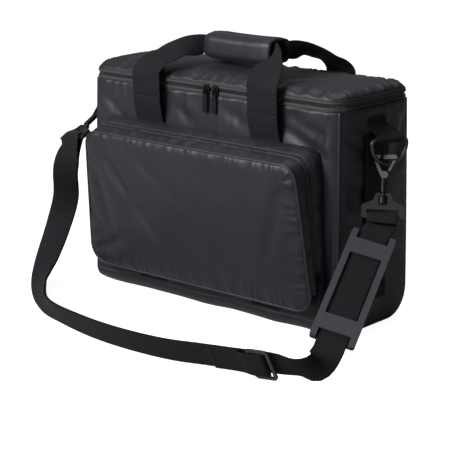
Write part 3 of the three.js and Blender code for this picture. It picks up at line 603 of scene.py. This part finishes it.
def end_points(rows=70, columns=44, inset=0.0):
    """An end panel as a grid in (y, z), facing +X, with x its outer face."""
    floor = AT_SEAM * corner_radius(0) + inset
    z = floor + (TOP - floor) * np.linspace(0, 1, rows) ** 1.15
    radius = corner_radius(z)
    front = -wall_depth(z, CORNER_FRONT) + AT_SEAM * radius + inset
    back = wall_depth(z, CORNER_BACK) - AT_SEAM * radius - inset
    t = (spread_to_edges(columns, 1.0) + 1) / 2
    y = front[:, None] + (back - front)[:, None] * t[None, :]
    zz = np.broadcast_to(z[:, None], y.shape)
    outline = np.concatenate([np.column_stack([front, z])[::-1], np.column_stack([back, z])])
    distance, along = to_outline(np.stack([y, zz], axis=-1), outline, closed=False)
    x = HALF_W - inset - edge_drop(distance, radius[:, None])
    return np.stack([x, y, zz], axis=-1), distance, along


def build_ends():
    grid, distance, along = end_points()
    flat = grid[..., 1:]
    for side, sign in SIDES:
        seed = 5.0 + sign
        bulge = 4.0 * MM * smooth(distance / (45 * MM))
        folds = pucker(distance, along, 1.2 * MM, 20 * MM, 14 * MM, seed)
        folds = folds + 1.2 * MM * noise_at(flat * [1, 0.6], 38 * MM, seed) * smooth(distance / (20 * MM))
        for end in ((0.0, 0.215), (0.005, 0.16), (-0.01, 0.11)):
            folds = folds + crease(flat, (-0.068, end[1] + 0.055), end, 3.2 * MM, 8 * MM)
        for start in ((-0.05, 0.285), (0.02, 0.288), (0.06, 0.28)):
            folds = folds + crease(flat, start, (0.045, 0.215), 4.2 * MM, 9 * MM)
        points = grid.copy()
        points[..., 0] += bulge + folds
        points[..., 0] *= sign
        part = sheet(f"{side}_end_cloth", points, NYLON, "root", MIDDLE, PADDED)
        stand_in(part, f"{side}_end_panel")
        build_piping(side, sign)


def build_piping(side, sign):
    """The cord over the seam between an end panel and the wrap."""
    section = body_section(0, 160)
    inward = AT_SEAM * corner_radius(section[:, 1])
    x = sign * (HALF_W - inward)
    path = np.column_stack([x, section - section_outward(section) * inward[:, None]])
    path[:, 2] = np.maximum(path[:, 2], PIPING)
    part = cord(f"{side}_piping_cord", path, X, PIPING, PIPED, "root")
    stand_in(part, f"{side}_piping")


def build_inside():
    """The lining, a sagging tub just inside the shell, and the stiffener board under it."""
    inset = 6 * MM
    points, normal = wrap_points(body_section(inset, 60), 70, inset)
    points[..., 2] = np.maximum(points[..., 2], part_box("base_board")[1].z + 1.5 * MM)
    sag = 1.6 * MM * noise_at(points, 45 * MM, 11.0) - 0.8 * MM
    points = points + normal * (sag * smooth((TOP - points[..., 2]) / (20 * MM)))[..., None]
    wrap = sheet("lining_wrap", points, LINING, "root", (0, 0, -9), 0)
    stand_in(wrap, "inner_lining")
    grid, _, _ = end_points(30, 24, inset)
    for side, sign in SIDES:
        end = grid.copy()
        end[..., 0] = sign * (end[..., 0] + 1.2 * MM * noise_at(grid[..., 1:], 40 * MM, 12.0))
        sheet(f"lining_end_{side}", end, LINING, "root", MIDDLE, 0)
    show_cad(["base_board"], BOARD, 0.5 * MM)


# ---- webbing sewn to the body ----
def build_load_webbing():
    """Flat strips of webbing that lie on the front, the back and both ends."""
    for side, sign in SIDES:
        for face, spread, facing in (("front", FRONT_SPREAD, -1), ("back", BACK_SPREAD, 1)):
            node = f"{face}_load_webbing_{side}"
            low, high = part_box(node)
            z = np.linspace(low.z, high.z + 14 * MM, 60)
            bulge = WALL_BULGE * math.cos(spread / HALF_W * math.pi / 2) * np.sin(z / TOP * math.pi)
            y = facing * (HALF_D + bulge + 1.6 * MM)
            path = np.column_stack([np.full_like(z, sign * spread), y, z])
            stand_in(webbing(f"{node}_strip", path, X, WEBBING, WEB, "root"), node)
        node = f"{side}_end_webbing"
        low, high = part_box(node)
        z = np.linspace(low.z, high.z, 60)
        x = sign * (HALF_W + 4.0 * MM * smooth((z - 5 * MM) / (45 * MM)) + 1.8 * MM)
        path = np.column_stack([x, np.full_like(z, RING_Y), z])
        stand_in(webbing(f"{node}_strip", path, Y, WEBBING, WEB, "root"), node)


# ---- zip and lid ----
def zip_line(inset, back_end):
    """The zip's line in plan, from the left end round the front to the right end."""
    x, y = HALF_W - inset, HALF_D - inset
    corners = [(-x, back_end, 0), (-x, -y, ZIP_CORNER), (x, -y, ZIP_CORNER), (x, back_end, 0)]
    return even_rows(rounded(corners, closed=False), 260)


def band_line(inset):
    """The tapes' line in plan: along the zip and on round the back corners to the cloth hinge."""
    x, y = HALF_W - inset, HALF_D - inset
    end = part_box("lid_hinge_strip")[1].x - 4 * MM
    turns = [(at_x, at_y, ZIP_CORNER) for at_x, at_y in ((-x, y), (-x, -y), (x, -y), (x, y))]
    return even_rows(rounded([(-end, y, 0), *turns, (end, y, 0)], closed=False), 340)


def zip_band(name, line, z0, z1, material, body, lip):
    """An upright band of tape along the zip's line, rolled slightly outwards in the middle."""
    shares = np.linspace(0, 1, 7)
    tangent = unit(np.gradient(line, axis=0))
    outward = np.column_stack([tangent[:, 1], -tangent[:, 0]])
    grid = np.zeros((len(line), len(shares), 3))
    for k, share in enumerate(shares):
        grid[:, k, :2] = line + outward * lip * math.sin(share * math.pi)
        grid[:, k, 2] = z0 + (z1 - z0) * share
    return sheet(name, grid, material, body, (0, 0, (z0 + z1) / 2), 1.0 * MM)


def build_zip():
    body_tape, lid_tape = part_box("body_zip_tape"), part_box("lid_zip_tape")
    back_end = body_tape[1].y
    line = band_line(ZIP_INSET)
    middle = (body_tape[1].z + lid_tape[0].z) / 2
    chain = 1.5 * MM
    for name, body, low, high, edge in (
        ("body_zip_tape", "root", body_tape[0].z - 0.3 * MM, middle - chain, -1),
        ("lid_zip_tape", "lid", middle + chain, lid_tape[1].z + 0.3 * MM, 1),
    ):
        band = zip_band(f"{name}_band", line, low, high, TAPE, body, 1.6 * MM)
        stand_in(band, name)
        chain_line = zip_line(ZIP_INSET + 0.4 * MM, back_end)
        bead = np.column_stack([chain_line, np.full(len(chain_line), middle + edge * 0.8 * MM)])
        teeth = cord(f"{name}_teeth", bead, Z, 0.75 * MM, TEETH, body, sides=8)
    edge = band_line(ZIP_INSET - 0.6 * MM)
    seam = np.column_stack([edge, np.full(len(edge), body_tape[0].z + 0.4 * MM)])
    cord("body_zip_welt", seam, Z, 0.9 * MM, PIPED, "root", sides=8)


def lid_outline(inset):
    x, y = HALF_W - ZIP_INSET - inset, HALF_D - ZIP_INSET - inset
    corner = 27 * MM - inset
    return rounded([(-x, -y, corner), (x, -y, corner), (x, y, corner), (-x, y, corner)], steps=12)


def rows_inside(outline, columns, rows):
    """A grid that fills a convex outline, its rows along the second axis."""
    low, high = outline[:, 1].min(), outline[:, 1].max()
    middle = (low + high) / 2
    levels = middle + spread_to_edges(rows, (high - low) / 2, 0.5)
    grid = np.zeros((rows, columns, 2))
    for i, level in enumerate(np.clip(levels, low + 1e-6, high - 1e-6)):
        ends = []
        for a, b in zip(outline, np.roll(outline, -1, axis=0)):
            if (a[1] - level) * (b[1] - level) < 0:
                ends.append(a[0] + (b[0] - a[0]) * (level - a[1]) / (b[1] - a[1]))
        left, right = min(ends), max(ends)
        grid[i, :, 0] = (left + right) / 2 + spread_to_edges(columns, (right - left) / 2, 0.6)
        grid[i, :, 1] = level
    return grid


def build_lid():
    outline = lid_outline(0)
    plan = rows_inside(outline, 190, 90)
    distance, along = to_outline(plan, outline)
    rise = pillow(distance, LID_TOP - LID_SEAM - 1 * MM, 17 * MM)
    crown = 5.5 * MM * smooth(distance / (75 * MM))
    left_puff = 7.5 * MM * smooth((-plan[..., 0] - 90 * MM) / (90 * MM)) * smooth(distance / (50 * MM))
    folds = pucker(distance, along, 2.3 * MM, 14 * MM, 10 * MM, 21.0)
    slow = 1.4 * MM * noise_at(plan * [0.5, 1], 32 * MM, 22.0) * smooth(distance / (25 * MM))
    creases = (
        ((-0.06, -0.055), (0.02, -0.02), 2.2), ((0.09, -0.05), (0.16, -0.01), 2.2),
        ((-0.17, -0.06), (-0.12, 0.0), 2.2),
    )
    slow = creased(slow, plan, creases, 8 * MM)
    z = LID_SEAM - 0.3 * MM + rise + crown + left_puff + folds + slow
    grid = np.dstack([plan, z])
    stand_in(sheet("lid_cloth", grid, NYLON, "lid", (0, 0, 0.2), PADDED), "lid_panel")
    line = closed_line(outline, 300)
    seam = np.column_stack([line, np.full(len(line), LID_SEAM + 0.2 * MM)])
    welt = cord("lid_seam_welt", seam, Z, 1.3 * MM, PIPED, "lid", closed=True, sides=8)
    build_lid_lining()
    build_lid_hinge()


def build_lid_lining():
    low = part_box("lid_lining")[0]
    outline = lid_outline(3.5 * MM)
    plan = rows_inside(outline, 60, 30)
    distance, _ = to_outline(plan, outline)
    sag = 1.5 * MM * noise_at(plan, 45 * MM, 31.0) * smooth(distance / (20 * MM))
    grid = np.dstack([plan, low.z + 0.6 * MM + sag + 1.2 * MM * smooth(distance / (40 * MM))])
    stand_in(sheet("lid_lining_cloth", grid, LINING, "lid", (0, 0, 0.5), 0), "lid_lining")


def build_lid_hinge():
    """The strip of cloth the lid turns on, bowed slightly outwards between the bag and the lid."""
    low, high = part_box("lid_hinge_strip")
    x = np.linspace(low.x - 6 * MM, high.x + 6 * MM, 120)
    z = np.linspace(TOP - 1 * MM, LID_SEAM + 0.5 * MM, 9)
    xx, zz = np.meshgrid(x, z)
    out = 1.2 * MM * np.sin((zz - z[0]) / (z[-1] - z[0]) * math.pi)
    yy = HALF_D - 1 * MM + out + 0.3 * MM * noise_at(np.dstack([xx, zz]), 15 * MM, 33.0)
    part = sheet("lid_hinge_cloth", np.dstack([xx, yy, zz]), NYLON, None, (0, 0, 0.3), 1.0 * MM)
    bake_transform(part)
    stand_in(part, "lid_hinge_strip")


# ---- carry handles ----
GRIP_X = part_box("grip_wrap_front")[1].x
GRIP_Z = sum(corner.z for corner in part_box("grip_wrap_front")) / 2


def strap_rows(facing, sign, spread, top):
    """The upright strap from its seam to a height: rows of position, width direction and width."""
    rises = ((3.2, -6), (4.5, 2), (7.5, 12), (10.5, 26), (11.5, 44), (11.8, (top - SEAM) / MM))
    return [
        (sign * spread, facing * (HALF_D + out * MM), SEAM + up * MM, sign, 0, 0, WEBBING)
        for out, up in rises
        if SEAM + up * MM <= top + 1e-6
    ]


def arm_rows(facing, sign, spread):
    """The arm that leans in from the strap to the grip, where the webbing is folded in half."""
    rows = []
    stations = (
        (0, 92, 315, 0, 50), (0, 91.5, 319, 0, 50), (0.03, 88.5, 325, 0, 50),
        (0.14, 80, 333.5, 0, 49), (0.34, 65.5, 341, 0.1, 46), (0.57, 48.5, 349, 0.4, 38),
        (0.8, 29, 351.5, 1.1, 31), (1, 15, 353, math.pi / 2, 25),
        (1.25, 12, 352, math.pi / 2, 21.5), (1.9, 12, 352, math.pi / 2, 21.5),
    )
    for share, out, z, tuck, width in stations:
        x = spread + (GRIP_X + 4 * MM - spread) * share
        side = (sign * math.cos(tuck), -facing * 0.3 * math.sin(tuck), 0.95 * math.sin(tuck))
        rows.append((sign * x, facing * out * MM, z * MM, *side, width * MM))
    return rows


def handle_webbing(name, rows):
    """Webbing through rows of position, width direction and width, on no body."""
    return webbing(name, rows[:, :3], rows[:, 3:6], rows[:, 6], WEB, None)


def build_handles():
    split = SEAM + 36 * MM
    for side, sign in SIDES:
        rows = spline(strap_rows(-1, sign, FRONT_SPREAD, split), 24)
        part = handle_webbing(f"front_handle_lower_{side}", rows)
        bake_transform(part)
        stand_in(part, f"front_handle_strap_{side}")

    upper = []
    for sign in (-1, 1):
        strap = strap_rows(-1, sign, FRONT_SPREAD, KNEE - 4 * MM)
        strap = [row for row in strap if row[2] >= split - 11 * MM]
        strap[0] = (*strap[0][:2], split - 0.1 * MM, *strap[0][3:])
        upper.append(spline(strap + arm_rows(-1, sign, FRONT_SPREAD), 90))
    join_handle("front_handle_upper", upper, "front_handle_loop")

    back = []
    for sign in (-1, 1):
        strap = strap_rows(1, sign, BACK_SPREAD, KNEE - 4 * MM)
        back.append(spline(strap + arm_rows(1, sign, BACK_SPREAD), 110))
    join_handle("back_handle", back, "back_handle_webbing")

    for facing, name in ((-1, "front"), (1, "back")):
        build_grip(facing, name)


def join_handle(name, halves, node):
    """One webbing loop from its left and right halves."""
    left, right = halves
    mirrored = left[::-1].copy()
    mirrored[:, 3:6] *= -1
    rows = np.concatenate([right, mirrored])
    part = handle_webbing(f"{name}_webbing", rows)
    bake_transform(part)
    stand_in(part, node)


def build_grip(facing, name):
    """Half of the padded wrap round the grips, a C in section that is plumper in the middle."""
    node = f"grip_wrap_{name}"
    outer = [(-0.3, 19, 0), (-24, 15.5, 11), (-25.5, -17, 11), (-0.3, -18.5, 0)]
    inner = [(-0.3, -15, 0), (-20, -11, 7), (-20, 12, 7), (-0.3, 15, 0)]
    section = np.concatenate([rounded(outer, closed=False), rounded(inner, closed=False)]) * MM
    rings = []
    for t in np.linspace(-1, 1, 41):
        plump = 1 - 0.08 * smooth((abs(t) - 0.8) / 0.2)
        ring = np.column_stack([np.full(len(section), t * GRIP_X), section * plump])
        ring[:, 2] += GRIP_Z - 1.2 * MM * (1 - t * t)
        wobble = 0.7 * MM * noise_at(ring, 22 * MM, 41.0 + facing)
        ring[:, 1] = np.minimum(ring[:, 1] + wobble, -0.3 * MM)
        rings.append(ring)
    rings = np.array(rings)
    if facing > 0:
        rings[..., 1] *= -1
    body = "front_handle_grip" if facing < 0 else "back_handle"
    stand_in(tube(f"{node}_cloth", rings, NYLON, body), node)


# ---- front pocket ----
POCKET_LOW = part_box("pocket_floor")[0].z
POCKET_TOP = 233 * MM
POCKET_REAR_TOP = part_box("pocket_back_gusset")[1].z
POCKET_BOTTOM_HALF = 199 * MM
POCKET_TOP_HALF = 184 * MM
POCKET_REAR_HALF = 190 * MM


def pocket_face(z):
    """The y of the pocket's front seam at a height: the pocket leans out towards its top."""
    t = (z - POCKET_LOW) / (POCKET_TOP - POCKET_LOW)
    return -HALF_D - (23 + 24 * t) * MM


def pocket_outline(top_half, top, closed=True):
    bottom = POCKET_LOW if closed else POCKET_LOW + 26 * MM
    corner = 26 * MM if closed else 0
    return rounded(
        [(-POCKET_BOTTOM_HALF, bottom, corner), (-top_half, top, 22 * MM),
         (top_half, top, 22 * MM), (POCKET_BOTTOM_HALF, bottom, corner)],
        steps=12, closed=closed,
    )


def gusset_grid(start, end, columns, puff):
    """A band of the pocket's side between two shares of its depth, from the body (0) to the face (1)."""
    rear = even_rows(pocket_outline(POCKET_REAR_HALF, POCKET_REAR_TOP, False), 220)
    front = even_rows(pocket_outline(POCKET_TOP_HALF, POCKET_TOP, False), 220)
    tangent = unit(np.gradient(front, axis=0))
    outward = np.column_stack([-tangent[:, 1], tangent[:, 0]])
    run = np.arange(len(front)) * np.linalg.norm(front[1] - front[0])
    grid = np.zeros((len(front), columns, 3))
    for k, share in enumerate(np.linspace(0, 1, columns)):
        t = start + (end - start) * share
        line = rear + (front - rear) * t
        grid[:, k, 1] = -HALF_D - 0.4 * MM + (pocket_face(front[:, 1]) + HALF_D + 0.4 * MM) * t
        gather = noise_at(np.column_stack([run, np.full(len(run), share * 12 * MM)]), 12 * MM, 51.0 + start)
        out = puff * math.sin(share * math.pi) + 2.2 * MM * gather * math.sin(share * math.pi) ** 0.5
        grid[:, k, 0::2] = line + outward * out[:, None]
    return grid


def build_pocket():
    inside = (0, -0.1, 0.12)
    bands = (
        ("pocket_back_gusset", "root", 0.0, 0.44, 14, 2.2 * MM, NYLON, "nylon"),
        ("pocket_zip_tape_back", "root", 0.44, 0.505, 5, -0.4 * MM, TAPE, "zip_tape"),
        ("pocket_zip_tape_front", "pocket_front", 0.515, 0.58, 5, -0.4 * MM, TAPE, "zip_tape"),
        ("pocket_front_gusset", "pocket_front", 0.58, 1.0, 14, 1.8 * MM, NYLON, "nylon"),
    )
    for name, body, start, end, columns, puff, material, slot in bands:
        grid = gusset_grid(start, end, columns, puff)
        stand_in(sheet(f"{name}_cloth", grid, material, body, inside, 1.2 * MM), name)
    for name, body, share in (("back", "root", 0.49), ("front", "pocket_front", 0.53)):
        gusset_cord(f"pocket_teeth_{name}", share, 0.8 * MM, TEETH, body)
    for name, body, share in (("back", "root", 0.43), ("front", "pocket_front", 0.59)):
        gusset_cord(f"pocket_zip_welt_{name}", share, 1.2 * MM, PIPED, body)
    build_pocket_face()
    floor = sheet("pocket_floor_cloth", pocket_floor_grid(), NYLON, "root", (0, -0.09, 1), 1.0 * MM)
    stand_in(floor, "pocket_floor")


def gusset_cord(name, share, radius, material, body):
    """A fine cord round the pocket's side at a share of its depth."""
    line = gusset_grid(share, share + 0.01, 2, 0)[:, 0]
    cord(name, line, (0, 1, 0.1), radius, material, body, sides=8)


def pocket_floor_grid():
    low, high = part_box("pocket_floor")
    x = np.linspace(low.x, high.x, 60)
    y = np.linspace(low.y, high.y, 6)
    xx, yy = np.meshgrid(x, y)
    zz = low.z + 0.8 * MM * noise_at(np.dstack([xx, yy]), 20 * MM, 57.0)
    return np.dstack([xx, yy, zz])


def build_pocket_face():
    outline = pocket_outline(POCKET_TOP_HALF, POCKET_TOP)
    plan = rows_inside(outline, 170, 110)
    distance, along = to_outline(plan, outline)
    out = pillow(distance, 5.5 * MM, 16 * MM) + 3.5 * MM * smooth(distance / (70 * MM))
    out = out + pucker(distance, along, 1.3 * MM, 11 * MM, 7 * MM, 61.0)
    out = out + 1.0 * MM * noise_at(plan * [0.8, 0.6], 48 * MM, 62.0) * smooth(distance / (30 * MM))
    folds = (
        ((-0.165, 0.215), (-0.05, 0.085), 4.6), ((-0.15, 0.225), (-0.10, 0.10), 3.8),
        ((-0.175, 0.19), (-0.14, 0.07), 3.8), ((-0.12, 0.225), (0.0, 0.15), 2.4),
        ((0.165, 0.215), (0.13, 0.09), 2.2), ((-0.185, 0.06), (-0.12, 0.085), 2.4),
        ((-0.19, 0.13), (-0.15, 0.045), 3.0),
    )
    y = pocket_face(plan[..., 1]) - creased(out, plan, folds, 9 * MM)
    grid = np.stack([plan[..., 0], y, plan[..., 1]], axis=-1)
    body = "pocket_front"
    part = sheet("pocket_front_cloth", grid, NYLON, body, (0, 0, 0.12), PADDED)
    stand_in(part, "pocket_front_panel")
    rim = closed_line(outline, 300)
    path = np.column_stack([rim[:, 0], pocket_face(rim[:, 1]) - 1.2 * MM, rim[:, 1]])
    piping = cord("pocket_piping_cord", path, (0, 1, 0.12), 1.8 * MM, PIPED, body, closed=True, sides=10)
    stand_in(piping, "pocket_piping")


# ---- rings ----
RING_ACROSS = unit(JOINTS["left_ring_tilt"]["axis"])
RING_FACE = np.cross(RING_ACROSS, Z)
RING_WIRE = 2.5 * MM  # radius


def build_ring(side, sign):
    """A D-ring: a straight bar in the tab with a round bow hanging under it."""
    node = f"{side}_d_ring"
    low, high = (np.array(corner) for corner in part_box(node))
    middle = (low + high) / 2
    bar = np.array(JOINTS[f"{side}_ring_tilt"]["pos_m"])
    radius = (bar[2] + RING_WIRE - (low[2] + RING_WIRE)) - 8.5 * MM
    bow = (low[2] + RING_WIRE - bar[2], radius - 0.1 * MM)
    corners = [(-radius, 0, 5 * MM), (radius, 0, 5 * MM), (radius, *bow), (-radius, *bow)]
    outline = closed_line(rounded(corners, steps=16), 120)
    path = np.array([middle[0], middle[1], bar[2]]) + outline[:, :1] * RING_ACROSS + outline[:, 1:] * Z
    ring = cord(f"{node}_wire", path, RING_FACE, RING_WIRE, METAL, f"{side}_ring", closed=True, sides=16)
    stand_in(ring, node)
    build_tab(side, sign, bar)


def build_tab(side, sign, bar):
    """The folded tab that holds the ring: sewn to the end above it, down over the bar and back up behind."""
    outward = RING_FACE * np.sign(RING_FACE[0]) * sign
    reach = RING_WIRE + 1.2 * MM
    rows = []
    for angle in np.radians(np.arange(-175, 66, 20)):
        at = bar + outward * reach * math.cos(angle) + Z * reach * math.sin(angle)
        rows.append((*at, *RING_ACROSS, STRAP_WEB))
    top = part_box(f"{side}_ring_tab")[1].z
    face = sign * (HALF_W + 4.6 * MM)
    bend = (sign * (HALF_W + 17 * MM), RING_Y + 2 * MM, bar[2] + 8 * MM)
    rows.append((*bend, *unit(RING_ACROSS + 0.5 * Y), STRAP_WEB))
    rows.append((face + sign * 2.5 * MM, RING_Y, top - 12 * MM, *Y, STRAP_WEB))
    rows.append((face, RING_Y, top, *Y, STRAP_WEB))
    rows = spline(rows, 60)
    node = f"{side}_ring_tab"
    tab = webbing(f"{node}_webbing", rows[:, :3], rows[:, 3:6], STRAP_WEB, WEB, "root", STRAP_THICK)
    stand_in(tab, node)


# ---- shoulder strap ----
BAR_REACH = 68 * MM  # from a hook's eye to the bar of its base
BASE_ACROSS = {"left": (0.93, -0.36, 0.06), "right": (0.87, 0.46, -0.2)}


def strap_end(side):
    """The bar the webbing turns round, below the hook along the way it hangs, and the base's width
    direction.
    """
    joint = JOINTS[f"{side}_hook_swivel"]
    down = unit(joint["axis"])
    across = np.array(BASE_ACROSS[side])
    across = unit(across - across @ down * down)
    return np.array(joint["pos_m"]) + down * BAR_REACH, across


def square_to(direction, side):
    direction = np.asarray(direction, float)
    return unit(direction - direction @ side * side)


def strap_stations():
    """The line the strap rests on, in the order of the CAD: left hook, floor in front, ramp, right hook."""
    start, start_side = strap_end("left")
    end, end_side = strap_end("right")
    foot = np.array([0.3045, -0.214, 0.0395])
    leave = start + square_to((-0.15, -0.35, -0.9), start_side) * 14 * MM
    arrive = end + square_to(foot - end, end_side) * 14 * MM
    flat = (-0.08, 0.5, -0.86)
    ramp = (0.87, 0.46, -0.2)
    rows = [(*start, *-start_side), (*leave, *-start_side)]
    for at, across in (
        ((-265, -91, 160), (-0.85, -0.4, 0.2)), ((-280, -78, 112), (-0.78, -0.55, 0.2)),
        ((-286, -90, 68), (-0.9, -0.4, 0.1)), ((-268, -130, 32), (-0.85, -0.45, -0.25)),
        ((-225, -182, 21), (-0.55, -0.45, -0.65)), ((-170, -231, 20), (-0.1, -0.2, -0.97)),
        ((-110, -267, 19.5), (0.15, 0.4, -0.88)), ((-30, -284, 18.4), (0.04, 0.48, -0.87)),
        ((40, -288, 18), (-0.02, 0.5, -0.86)),
    ):
        rows.append((*(np.array(at) * MM), *across))
    for x in (110, 160, 210, 264):
        rows.append((x * MM, (-281.5 + (x - 110) * 0.16) * MM, (17.8 + (x - 110) * 0.057) * MM, *flat))
    rows.append((0.288, -0.250, 0.0255, -0.2, 0.6, -0.75))
    rows.append((0.305, -0.236, 0.0275, 0.4, 0.5, -0.75))
    for t in (0, 0.1, 0.3, 0.6, 0.86):
        rows.append((*(foot + (end - foot) * t), *ramp))
    rows.append((*arrive, *end_side))
    rows.append((*end, *end_side))
    return spline(rows, 900)


class StrapLine:
    """Points on the strap by distance from its left end, lifted off it towards its outer face."""

    def __init__(self):
        self.rows = strap_stations()
        self.path = self.rows[:, :3]
        self.along, self.side, _ = frames_along(self.path, self.rows[:, 3:6])
        self.outer = np.cross(self.side, self.along)
        self.run = run_along(self.path)
        self.length = self.run[-1]

    def at(self, distances, lift):
        values = (self.path, self.side, self.outer, self.along)
        rows = [[np.interp(distances, self.run, column) for column in value.T] for value in values]
        path, side, outer, along = (np.column_stack(columns) for columns in rows)
        outer = unit(outer)
        return path + outer * np.asarray(lift)[..., None], side, outer, unit(along)

    def where(self, x):
        """The distance at which the run on the floor passes an x."""
        middle = (self.run > 0.4 * self.length) & (self.run < 0.75 * self.length)
        return float(np.interp(x, self.path[middle, 0], self.run[middle]))


def build_strap():
    line = StrapLine()
    turn, apart = 5.2 * MM, 1.2 * MM
    glide = line.where(sum(corner.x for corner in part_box("tri_glide")) / 2)
    end = line.length

    def layer(start, stop, face, step=6 * MM):
        distances = np.linspace(start, stop, max(2, int(abs(stop - start) / step)))
        near = np.minimum(distances, end - distances)
        lift = turn + (apart - turn) * smooth(near / (26 * MM))
        points, sides, _, _ = line.at(distances, face * lift)
        return np.column_stack([points, sides])

    def turn_round(distance, away):
        points, sides, outer, along = line.at(np.full(5, distance), np.zeros(5))
        angles = np.radians([30, 60, 90, 120, 150])[:, None]
        way = 1 if distance > 0 else -1
        points = points + outer * away * turn * np.cos(angles) + along * way * turn * np.sin(angles)
        return np.column_stack([points, sides])

    rows = np.concatenate([
        layer(glide - 26 * MM, 2 * MM, 1), turn_round(0, 1), layer(2 * MM, end - 2 * MM, -1),
        turn_round(end, -1), layer(end - 2 * MM, end - 14 * MM, 1, 3 * MM),
    ])
    directions = (rows[:, :3], rows[:, 3:6])
    strap = webbing("strap_webbing_run", *directions, STRAP_WEB, STRAP, "strap", STRAP_THICK)
    stand_in(strap, "strap_webbing")
    build_strap_end(line, glide)


def build_strap_end(line, glide):
    """The webbing's own end, which lies on the strap beside the adjuster and rises over its bar."""
    stations = ((-72, 3.3), (-44, 3.3), (-30, 4.2), (-18, 6.4), (-1, 6.4), (3.6, 6.2), (6, 4.6), (6.6, 2.8))
    lifts = np.array(stations) * MM
    points, sides, _, _ = line.at(glide + lifts[:, 0], lifts[:, 1])
    rows = spline(np.column_stack([points, sides]), 50)
    loop = webbing("strap_end_webbing", rows[:, :3], rows[:, 3:6], STRAP_WEB, STRAP, "glide", STRAP_THICK)
    stand_in(loop, "strap_end_loop")


# ---- stage, light and camera ----
FLOOR_GLOW = 0.92  # how brightly the floor shows to the camera, on top of the light it catches
SKY_LIGHT = 0.13  # the backdrop's strength as light on the bag
LENS, SENSOR = 128.9, 36  # both in millimetres
CAMERA_DISTANCE = 2.241
CAMERA_AZIMUTH = math.radians(39.8)
CAMERA_ELEVATION = math.radians(13.45)
CAMERA_AIM = (-0.0157, -0.0268, 0.105)


def area_light(name, at, aim, size, power):
    """A soft round lamp; size is its diameter in metres and power is in watts."""
    data = bpy.data.lights.new(name, "AREA")
    data.shape = "DISK"
    data.size = size
    data.energy = power
    point_at(add_object(name, data), at, aim)


def point_at(made, at, aim):
    """Puts a lamp or the camera at one point, looking at another, as part of the stage."""
    made.location = at
    made.rotation_mode = "QUATERNION"
    made.rotation_quaternion = (Vector(aim) - Vector(at)).to_track_quat("-Z", "Y")


def build_stage():
    n = Nodes("stage_white")
    seen = n.add("ShaderNodeLightPath").outputs["Is Camera Ray"]
    n.set(Base_Color=(0.4, 0.4, 0.4, 1), Roughness=0.9)
    n.set(Emission_Color=(1, 1, 1, 1), Emission_Strength=n.scaled(seen, FLOOR_GLOW))
    bpy.ops.mesh.primitive_plane_add(size=40, location=(0, 0, -0.1 * MM))
    floor = bpy.context.object
    floor.name = "stage_floor"
    floor.data.materials.append(n.material)
    world = bpy.data.worlds.new("studio")
    world.use_nodes = True
    nodes, links = world.node_tree.nodes, world.node_tree.links
    background = nodes["Background"]
    background.inputs[0].default_value = (1, 1, 1, 1)
    # The backdrop is pure white to the eye but lights the bag only dimly.
    path = nodes.new("ShaderNodeLightPath")
    strength = nodes.new("ShaderNodeMapRange")
    strength.inputs["To Min"].default_value = SKY_LIGHT
    links.new(path.outputs["Is Camera Ray"], strength.inputs["Value"])
    links.new(strength.outputs["Result"], background.inputs[1])
    bpy.context.scene.world = world
    bpy.context.scene.view_settings.view_transform = "Standard"
    area_light("key", (-0.6, -1.9, 1.45), MIDDLE, 1.3, 105)
    area_light("fill", (1.8, -1.0, 0.9), MIDDLE, 1.5, 4)
    area_light("top", (-0.3, 0.4, 2.2), (0, 0, 0.2), 1.6, 16)


def build_camera():
    data = bpy.data.cameras.new("camera")
    data.sensor_width = SENSOR
    data.lens = LENS
    camera = add_object("camera", data)
    level = math.cos(CAMERA_ELEVATION)
    x, y = math.sin(CAMERA_AZIMUTH) * level, -math.cos(CAMERA_AZIMUTH) * level
    back = Vector((x, y, math.sin(CAMERA_ELEVATION)))
    point_at(camera, Vector(MIDDLE) + back * CAMERA_DISTANCE, CAMERA_AIM)
    bpy.context.scene.camera = camera


build_wrap()
build_ends()
build_inside()
build_load_webbing()
build_zip()
build_lid()
build_handles()
build_pocket()
build_ring("left", -1)
build_ring("right", 1)
build_strap()
show_cad(["left_snap_hook", "right_snap_hook", "left_hook_gate", "right_hook_gate"], DARK_METAL, 0.8 * MM)
show_cad(["left_swivel_base", "right_swivel_base", "tri_glide"], PLASTIC, 0.9 * MM)
show_cad(["shoulder_pad"], RUBBER, 0.8 * MM)
for zip_end in ("main_zip_{}_left", "main_zip_{}_right", "pocket_zip_{}"):
    show_cad([zip_end.format(part) for part in ("slider", "pull")], DARK_METAL, 0.4 * MM)
build_stage()
build_camera()
